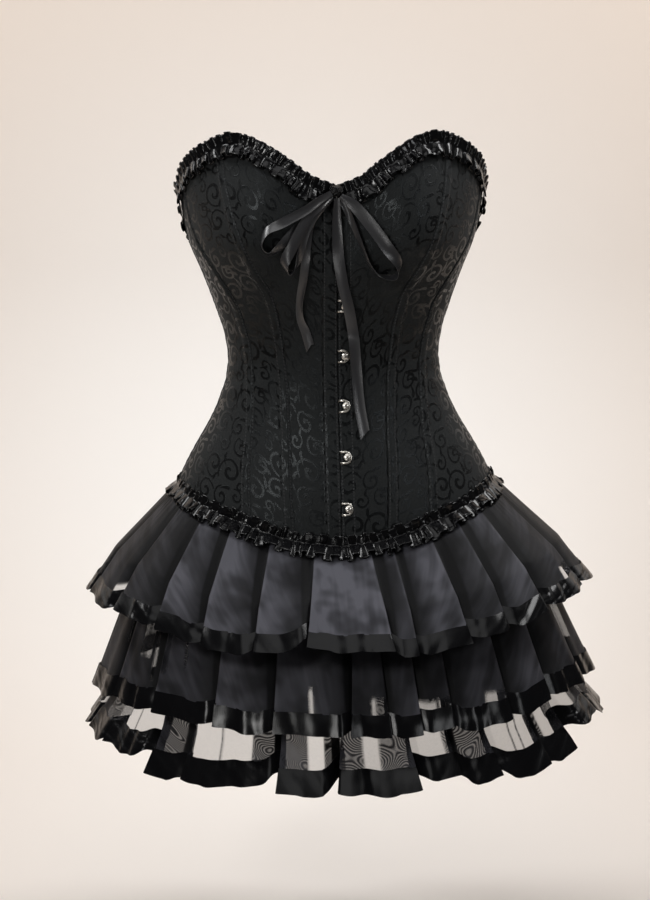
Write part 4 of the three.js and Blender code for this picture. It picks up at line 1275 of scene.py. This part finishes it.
def fold_shape(folds, deg):
    """A fold's dip, its shift in degrees, its gap (more layers, painted shade), painted shadow,
    painted highlight on its rolled edge and hem's corner.
    """
    dip, shift, dark, shadow, edge, corner = (np.zeros_like(deg) for _ in range(6))
    for at, width, depth in folds:
        hand = 1 if at <= 0 or at > 180 else -1
        reach = width * FOLD_REACH
        signed = hand * ((deg - at + 540) % 360 - 180) / reach
        here = np.abs(signed) < 1
        along = np.clip(signed, -1, 1)
        dip = np.where(here, np.maximum(dip, depth * fold_depth(along)), dip)
        shift = np.where(here, hand * reach * (fold_across(along) - along), shift)
        # Masks for the gap (more layers there, and painted shade), the painted shadow beside the
        # fold and the painted highlight on its rolled edge.
        dark = np.maximum(dark, smooth(-0.56, -0.4, signed) * smooth(0.5, 0.42, signed))
        shadow = np.maximum(shadow, smooth(-2.6, -0.5, signed) * (signed < 0.45))
        edge = np.maximum(edge, smooth(0.4, 0.48, signed) * smooth(0.72, 0.56, signed))
        near = np.where(signed > 0, smooth(1.5, 0.4, signed), smooth(-1.5, -0.4, signed))
        corner = np.maximum(corner, near)
    return dip, shift, dark, shadow, edge, corner


def tier_marks(name, folds, deg, down):
    """Marks of a tier's points: its layers, and its painted light and shade."""
    deg, down = np.broadcast_arrays(deg, down)
    _, _, dark, shadow, edge, _ = fold_shape(folds, deg)
    turn = (deg + 180) % 360 - 180
    layers = np.maximum(dark, TIERS[name]["full"])
    for start, end, upper, lower in CLEAR[name]:
        soft = smooth(start - CLEAR_SIDE, start + CLEAR_SIDE, turn)
        soft = soft * smooth(end + CLEAR_SIDE, end - CLEAR_SIDE, turn)
        across = smooth(upper - CLEAR_END, upper + CLEAR_END, down)
        soft = soft * across * smooth(lower + CLEAR_END, lower - CLEAR_END, down)
        soft = soft * (RIGHT_CLEARNESS if name == "tier_3" and start > 0 else 1)
        layers = layers * (1 - soft)
    for at in CREASE_LINES[name]:
        line = np.exp(-(((turn - at) / CREASE_WIDTH) ** 2))
        layers = np.maximum(layers, CREASE_DARK * line)
    hidden = (np.abs(turn) > 80) * (0.5 + 0.5 * np.sin(turn / 7)) * smooth(0.3, 0.8, down)
    layers = np.clip(layers - 0.5 * hidden, 0, 1)
    layers = np.maximum(layers, SEAM_LAYERS * (1 - smooth(0.1, 0.3, down)))
    shown = [at for at, _, _ in FOLDS[name]]
    # Each face between folds is painted as light as it looks where the light falls on it.
    painted_light = np.array(PAINTED_FACE_LIGHT[name])[np.searchsorted(shown, turn)]
    # Painted shadow beside each fold, painted shade in its gap and a painted highlight on its
    # rolled edge.
    shaded = painted_light * (1 - SHADOW_DARK * shadow * smooth(0, 0.2, down)) * (1 - GAP_PAINTED_SHADE * dark)
    return layers, (shaded + EDGE_PAINTED_HIGHLIGHT * edge * painted_light) * PAINTED_LIGHT_SCALE


def ripple(turn, height, count, uneven, changes):
    """A wave round the skirt with uneven spacing."""
    return height * np.sin(turn * count + uneven * np.sin(turn * changes))


def tier_angles(name, folds, start, end, step):
    """Angles spaced evenly along the folded hem."""
    fine = np.linspace(start, end, 4001)
    hem = tier_points(name, folds, fine, np.ones_like(fine))
    length = np.concatenate([[0], np.cumsum(np.linalg.norm(np.diff(hem, axis=0), axis=1))])
    count = round(length[-1] / step)
    return np.interp(np.linspace(0, length[-1], count), length, fine)


def tier_points(name, folds, deg, down):
    """The folded face of a tier."""
    tier = TIERS[name]
    deg, down = np.broadcast_arrays(deg, down)
    dip, shift, _, _, _, corner = fold_shape(folds, deg)
    grown = down ** tier["growth"]
    placed = deg + shift * grown + FALL * np.sin(np.radians(2 * deg)) * (1 - down)
    turn = np.radians(placed)
    side, front, behind = tier["reach"]
    depth = np.where(np.cos(turn) > 0, front, behind)
    inward = np.stack([-np.sin(turn) / side, np.cos(turn) / depth, np.zeros_like(turn)], axis=-1)
    wave = sum(ripple(turn, *row) for row in SKIRT_WAVES)
    gather = ripple(turn, *SKIRT_GATHERS) * np.exp(-down * GATHERS_FADE)
    sunk = (dip + wave * 0.7) * grown - gather
    points = tier_face(tier, placed, down) + unit(inward) * sunk[..., None]
    angles, drops = np.array(HEM_DROPS[name]).T
    around = ((deg + near + 180) % 360 - 180 for near in HEM_SOFTEN)
    drop = sum(np.interp(place, angles, drops) for place in around) / len(HEM_SOFTEN)
    raised = (dip * VALLEY_RISE + wave * 0.35 - drop) * grown
    points[..., 2] += raised + corner * CORNER_RISE[name] * grown**4
    return points


# %% Sew the skirt
SKIRT_STEP = 2.2
BAND_ROWS = 7
BAND_CLOTH = 0.5
BAND_OVERLAP = 1.06
BAND_LIFT, BAND_BELLY = 0.8, 0.4

for name, tier in TIERS.items():
    folds = tier_folds(name)
    for half, start, end in (("front", -90, 90), ("back", 90, 270)):
        deg = tier_angles(name, folds, start, end, SKIRT_STEP)
        band_share = BAND_WIDTH / tier_length(tier, deg)
        down = np.linspace(1, 0, tier["rows"])[:, None] * (1 - band_share)[None, :]
        points = tier_points(name, folds, deg[None, :], down)
        layers, shade = tier_marks(name, folds, deg[None, :], down)
        piece = cloth_grid(f"{name}_{half}_cloth", points, marks={"layers": layers, "shade": shade})
        finish_piece(piece, f"{name}_{half}", organza)
        gathered_cut(points)
        share = np.linspace(0, 1, BAND_ROWS)[:, None]
        down = 1 - share * (band_share * BAND_OVERLAP)[None, :]
        ribbon = tier_points(name, folds, deg[None, :], down)
        turn = np.radians(deg)
        outward = np.stack([np.sin(turn), -np.cos(turn), np.zeros_like(turn)], axis=-1)
        wave = ripple(turn, *BAND_RIPPLE) * (0.5 + 0.5 * np.abs(2 * share - 1))
        lift = BAND_LIFT + BAND_BELLY * np.sin(np.pi * share) + wave
        ribbon = ribbon + outward[None] * lift[..., None]
        band = cloth_grid(f"{name}_band_{half}_ribbon", ribbon)
        thicken(band, BAND_CLOTH)
        bpy.ops.object.shade_smooth_by_angle(angle=SHARP_ANGLE)
        finish_piece(band, f"{name}_band_{half}", satin)
        gathered_cut(ribbon)
    print(name, "columns", len(deg))

# %% [markdown]
# ## The busk
# The front closes with five metal loops that hook over five studs. The loops come out of the left
# front's edge, and the studs stand on the right front. One loop is bent from a ring: half of the
# ring is cut away and its two ends are drawn out into legs. One stud is turned from a round head
# over a stem. Both are copied to the five heights.

# %% Busk tables
LOOP_REACH, LOOP_HEIGHT, LOOP_WIRE, LOOP_THICKNESS, LOOP_LIFT = 12.0, 13.5, 2.2, 1.2, 1.0
STUD_OFFSET, STUD_HEAD_RADIUS, STUD_HEAD_HEIGHT = 7.2, 3.5, 1.8
STUD_STEM_RADIUS, STUD_LIFT = 1.4, 0.6
DOME, DOME_RINGS = 0.55, 4
BUSK_HEIGHTS = [60, 9, -41, -91, -141]


def angle_at(x, z):
    return np.degrees(np.arcsin(x / side_at(np.asarray(z, float))))


def on_front(x, z, lift):
    """A point on the bodice's front, lifted off the cloth."""
    deg = angle_at(x, z)
    return torso(deg, z) + torso_normal(deg, z) * np.asarray(lift, float)[..., None]


def front_matrix(x, z, lift):
    """Stands a piece on the bodice's front, its own Z pointing out of the cloth."""
    deg = angle_at(x, z)
    out = Vector(torso_normal(deg, z))
    up = Vector(torso(deg, z + 0.5) - torso(deg, z - 0.5)).normalized()
    across = up.cross(out).normalized()
    axes = Matrix((across, out.cross(across), out)).transposed().to_4x4()
    return Matrix.Translation(Vector(on_front(x, z, lift)) * MM) @ axes


# %% Model one loop and one stud
select_only(None)
bend_x = LOOP_REACH - LOOP_HEIGHT / 2 - STUD_OFFSET
bpy.ops.mesh.primitive_torus_add(
    major_segments=40, minor_segments=12, major_radius=(LOOP_HEIGHT - LOOP_WIRE) / 2 * MM,
    minor_radius=LOOP_WIRE / 2 * MM)
loop_model = bpy.context.object
bpy.ops.object.mode_set(mode="EDIT")
bpy.ops.mesh.select_all(action="SELECT")
bpy.ops.transform.resize(value=(1, 1, LOOP_THICKNESS / LOOP_WIRE))
bpy.ops.mesh.bisect(plane_co=(0, 0, 0), plane_no=(1, 0, 0), clear_inner=True)
bpy.ops.object.mode_set(mode="OBJECT")
for vertex in loop_model.data.vertices:
    vertex.select = abs(vertex.co.x) < 1e-6
bpy.ops.object.mode_set(mode="EDIT")
bpy.ops.mesh.select_mode(type="VERT")
legs = bend_x + STUD_OFFSET - SEAM_GAP / 2
bpy.ops.mesh.extrude_region_move(TRANSFORM_OT_translate={"value": (-legs * MM, 0, 0)})
bpy.ops.mesh.edge_face_add()
bpy.ops.mesh.select_all(action="SELECT")
bpy.ops.transform.translate(value=(bend_x * MM, 0, LOOP_THICKNESS / 2 * MM))
bpy.ops.mesh.normals_make_consistent(inside=False)
bpy.ops.object.mode_set(mode="OBJECT")
bpy.ops.object.shade_smooth()
print("loop:", len(loop_model.data.polygons), "faces")

neck = LOOP_LIFT + LOOP_THICKNESS + SEAM_GAP - STUD_LIFT
select_only(None)
bpy.ops.mesh.primitive_cylinder_add(
    vertices=28, radius=STUD_HEAD_RADIUS * MM, depth=STUD_HEAD_HEIGHT * MM,
    location=(0, 0, (neck + STUD_HEAD_HEIGHT / 2) * MM))
stud_model = bpy.context.object
bpy.ops.object.transform_apply(location=True, rotation=False, scale=False)
bpy.ops.object.mode_set(mode="EDIT")
bpy.ops.mesh.select_mode(type="FACE")
bpy.ops.mesh.select_all(action="DESELECT")
bpy.ops.object.mode_set(mode="OBJECT")
for face in stud_model.data.polygons:
    face.select = face.normal.z < -0.9
bpy.ops.object.mode_set(mode="EDIT")
bpy.ops.mesh.inset(thickness=(STUD_HEAD_RADIUS - STUD_STEM_RADIUS) * MM, depth=0)
bpy.ops.mesh.extrude_region_move(TRANSFORM_OT_translate={"value": (0, 0, -neck * MM)})
bpy.ops.object.mode_set(mode="OBJECT")
for vertex in stud_model.data.vertices:
    if vertex.co.z > (neck + STUD_HEAD_HEIGHT - 0.1) * MM:
        vertex.co.z -= STUD_HEAD_HEIGHT * DOME * MM
for face in stud_model.data.polygons:
    face.select = face.normal.z > 0.9
bpy.ops.object.mode_set(mode="EDIT")
for ring in range(DOME_RINGS):
    rise = STUD_HEAD_HEIGHT * (0.22 - 0.055 * ring)
    bpy.ops.mesh.inset(thickness=STUD_HEAD_RADIUS * 0.2 * MM, depth=rise * MM)
bpy.ops.object.mode_set(mode="OBJECT")
bpy.ops.object.shade_smooth_by_angle(angle=SHARP_ANGLE)
print("stud:", len(stud_model.data.polygons), "faces")

# %% Copy them to the five heights


def copy_to(model, name, matrix):
    """A copy of a model with its own mesh, its place in the mesh."""
    piece = bpy.data.objects.new(name, model.data.copy())
    piece.data.name = name
    piece.data.transform(matrix)
    bpy.context.scene.collection.objects.link(piece)
    return piece


for number, height in enumerate(BUSK_HEIGHTS, start=1):
    loop = copy_to(loop_model, f"loop_{number}_metal", front_matrix(STUD_OFFSET, height, LOOP_LIFT))
    finish_piece(loop, f"busk_loop_{number}", metal)
    stud = copy_to(stud_model, f"stud_{number}_metal", front_matrix(STUD_OFFSET, height, STUD_LIFT))
    finish_piece(stud, f"busk_stud_{number}", metal)
for model in (loop_model, stud_model):
    bpy.data.objects.remove(model, do_unlink=True)
print("busk:", len(BUSK_HEIGHTS), "fastenings")

# %% [markdown]
# ## The bow
# A narrow satin ribbon is tied in a bow over the middle of the top frill: two loops on the left,
# one on the right, and two tails that hang down the front. Each ribbon follows a row of places on
# the bodice, with its height over the cloth, its width as seen and its twist. The edges curl a
# little, as they do on a light ribbon, and the tails are cut on the slant.

# %% Bow tables
KNOT = {"x": -1, "z": 172, "lift": 9.5, "across": 7, "tall": 6, "deep": 5.5, "gap": 0.8}


def at_knot(direction, lift, gap=KNOT["gap"]):
    """Where a ribbon leaves the knot."""
    turn = math.radians(direction)
    reach = 1 / math.hypot(math.cos(turn) / KNOT["across"], math.sin(turn) / KNOT["tall"])
    away = reach * math.sqrt(1 - ((lift - KNOT["lift"]) / KNOT["deep"]) ** 2) + gap
    return KNOT["x"] + away * math.cos(turn), KNOT["z"] + away * math.sin(turn), lift, 4.5, 0


RIBBONS = {
    # x, z, height over the cloth, width, twist
    "bow_loop_left_outer": [
        at_knot(198, 13), (-20, 163, 12, 6, 0), (-32, 155, 10.5, 7, 5), (-55, 143, 8, 8, 15),
        (-70, 135, 7, 8, 55),
        (-74, 122, 6, 8, 85), (-65, 115, 4.5, 8, 40), (-48, 130, 2.2, 7, 0), (-32, 147, 2.2, 6, 0),
        (-19, 157.5, 5.7, 5, 0), at_knot(216, 6.6)],
    "bow_loop_left_lower": [
        at_knot(212, 11.4), (-19, 158, 10.2, 6, 0), (-32, 146, 8.2, 8, 5), (-46, 122, 7.5, 9, 10),
        (-54, 107, 7.5, 9, 50), (-49, 97, 6.5, 8, 85), (-42, 101, 5.5, 8, 60),
        (-37, 118, 4.6, 7, 15),
        (-32, 134, 5.6, 6, 0), (-19, 156, 8.7, 5, 0), at_knot(218, 9.8)],
    "bow_tail_left": [
        at_knot(230, 8.2), (-18, 155, 7.2, 6, 0), (-27, 142, 3.8, 7, 0), (-30.6, 122, 2.4, 7, 10),
        (-33.3, 93, 2.8, 7, 25), (-36.8, 67, 3.2, 7, 35), (-36.4, 49, 3, 7, 20),
        (-31.3, 34, 2.4, 8, 5),
        (-27.2, 19, 2.2, 8, 0)],
    "bow_loop_right": [
        at_knot(320, 12.5, 1.6), (18, 158, 11, 9, 0), (36, 138, 9, 10, -8), (50, 119, 7.5, 10, -20),
        (60, 104, 7, 9, -60), (57, 92, 6.5, 8, -88), (43, 91, 6, 8, -75), (32, 101, 5.5, 7, -60),
        (24, 120, 5, 6, -45), (15.5, 142, 5.5, 5.5, -25), (9, 156, 7.4, 5, 0), at_knot(302, 8)],
    "bow_tail_right": [
        at_knot(270, 10.6), (-1.5, 148, 7.5, 7, 0), (-1, 133, 6.5, 8, 0), (1, 112, 6, 9, 0),
        (5, 84, 6.5, 9, 0),
        (10, 62, 7, 9, 0), (15, 33, 4, 9, 10), (16.5, 15, 6, 9, 0), (20, -36, 4, 9, 0),
        (25, -70, 4, 9, 0)],
}
RIBBON_FULL = 1.2
RIBBON_CLOTH = 0.35
RIBBON_STEPS = 10
RIBBON_COLUMNS = 9
RIBBON_CURL = 1.1
RIBBON_SLANT = 0.9

# %% Tie the bow


def ribbon_points(places, seed, slant):
    """Points of a ribbon along its places: rows along it, columns across."""
    rows = [(step,) + tuple(place) for step, place in enumerate(places)]
    at = np.linspace(0, len(rows) - 1, RIBBON_STEPS * (len(rows) - 1) + 1)
    x, z, lift, width, twist = (curve(rows, column)(at) for column in range(1, 6))
    middle = on_front(x, z, lift)
    ahead = unit(np.gradient(middle, axis=0))
    out = unit(on_front(x, z, np.ones_like(x)) - on_front(x, z, np.zeros_like(x)))
    flat = unit(np.cross(ahead, out))
    turn = np.radians(twist)[:, None]
    across = flat * np.cos(turn) + np.cross(ahead, flat) * np.sin(turn)
    face = np.cross(across, ahead)
    share = np.linspace(-1, 1, RIBBON_COLUMNS)
    curl_height = RIBBON_CURL * np.sin(at * 0.9 + seed)[:, None] * (share**2 - 0.4)
    half = RIBBON_FULL * width / 2
    points = middle[:, None] + across[:, None] * (share[None, :, None] * half[:, None, None])
    points = points + face[:, None] * curl_height[..., None]
    if slant:
        points[-1] += ahead[-1] * (share * half[-1] * RIBBON_SLANT)[:, None]
    return points


for number, (name, places) in enumerate(RIBBONS.items()):
    points = ribbon_points(places, 1.7 * number, "tail" in name)
    piece = cloth_grid(f"{name}_ribbon", points)
    thicken(piece, RIBBON_CLOTH)
    bpy.ops.object.shade_smooth_by_angle(angle=SHARP_ANGLE)
    finish_piece(piece, name, ribbon_satin)
    length = flat_size(points)[1]
    grid_area(points)
    print(name, "%.2f m long" % length)

# %% Tie the knot
select_only(None)
bpy.ops.mesh.primitive_uv_sphere_add(segments=48, ring_count=24, radius=MM)
knot = bpy.context.object
knot.name = knot.data.name = "bow_knot_ribbon"
for vertex in knot.data.vertices:
    x, y, z = vertex.co / MM
    fold = 0.07 * math.sin(9 * x + 1.5 * y) * (1 - abs(x)) + 0.05 * math.sin(5 * y + 4 * x)
    pinch = 1 - 0.16 * math.exp(-((y - 0.1) / 0.35) ** 2) * abs(x)
    vertex.co = Vector((x * KNOT["across"] * (1 + fold), y * KNOT["tall"] * pinch * (1 + fold),
                        z * KNOT["deep"] * (1 + fold))) * MM
knot.data.transform(front_matrix(KNOT["x"], KNOT["z"], KNOT["lift"]))
knot.data.uv_layers[0].name = "cloth"
bpy.ops.object.shade_smooth()
finish_piece(knot, "bow_knot", satin)
print("knot:", len(knot.data.polygons), "faces")
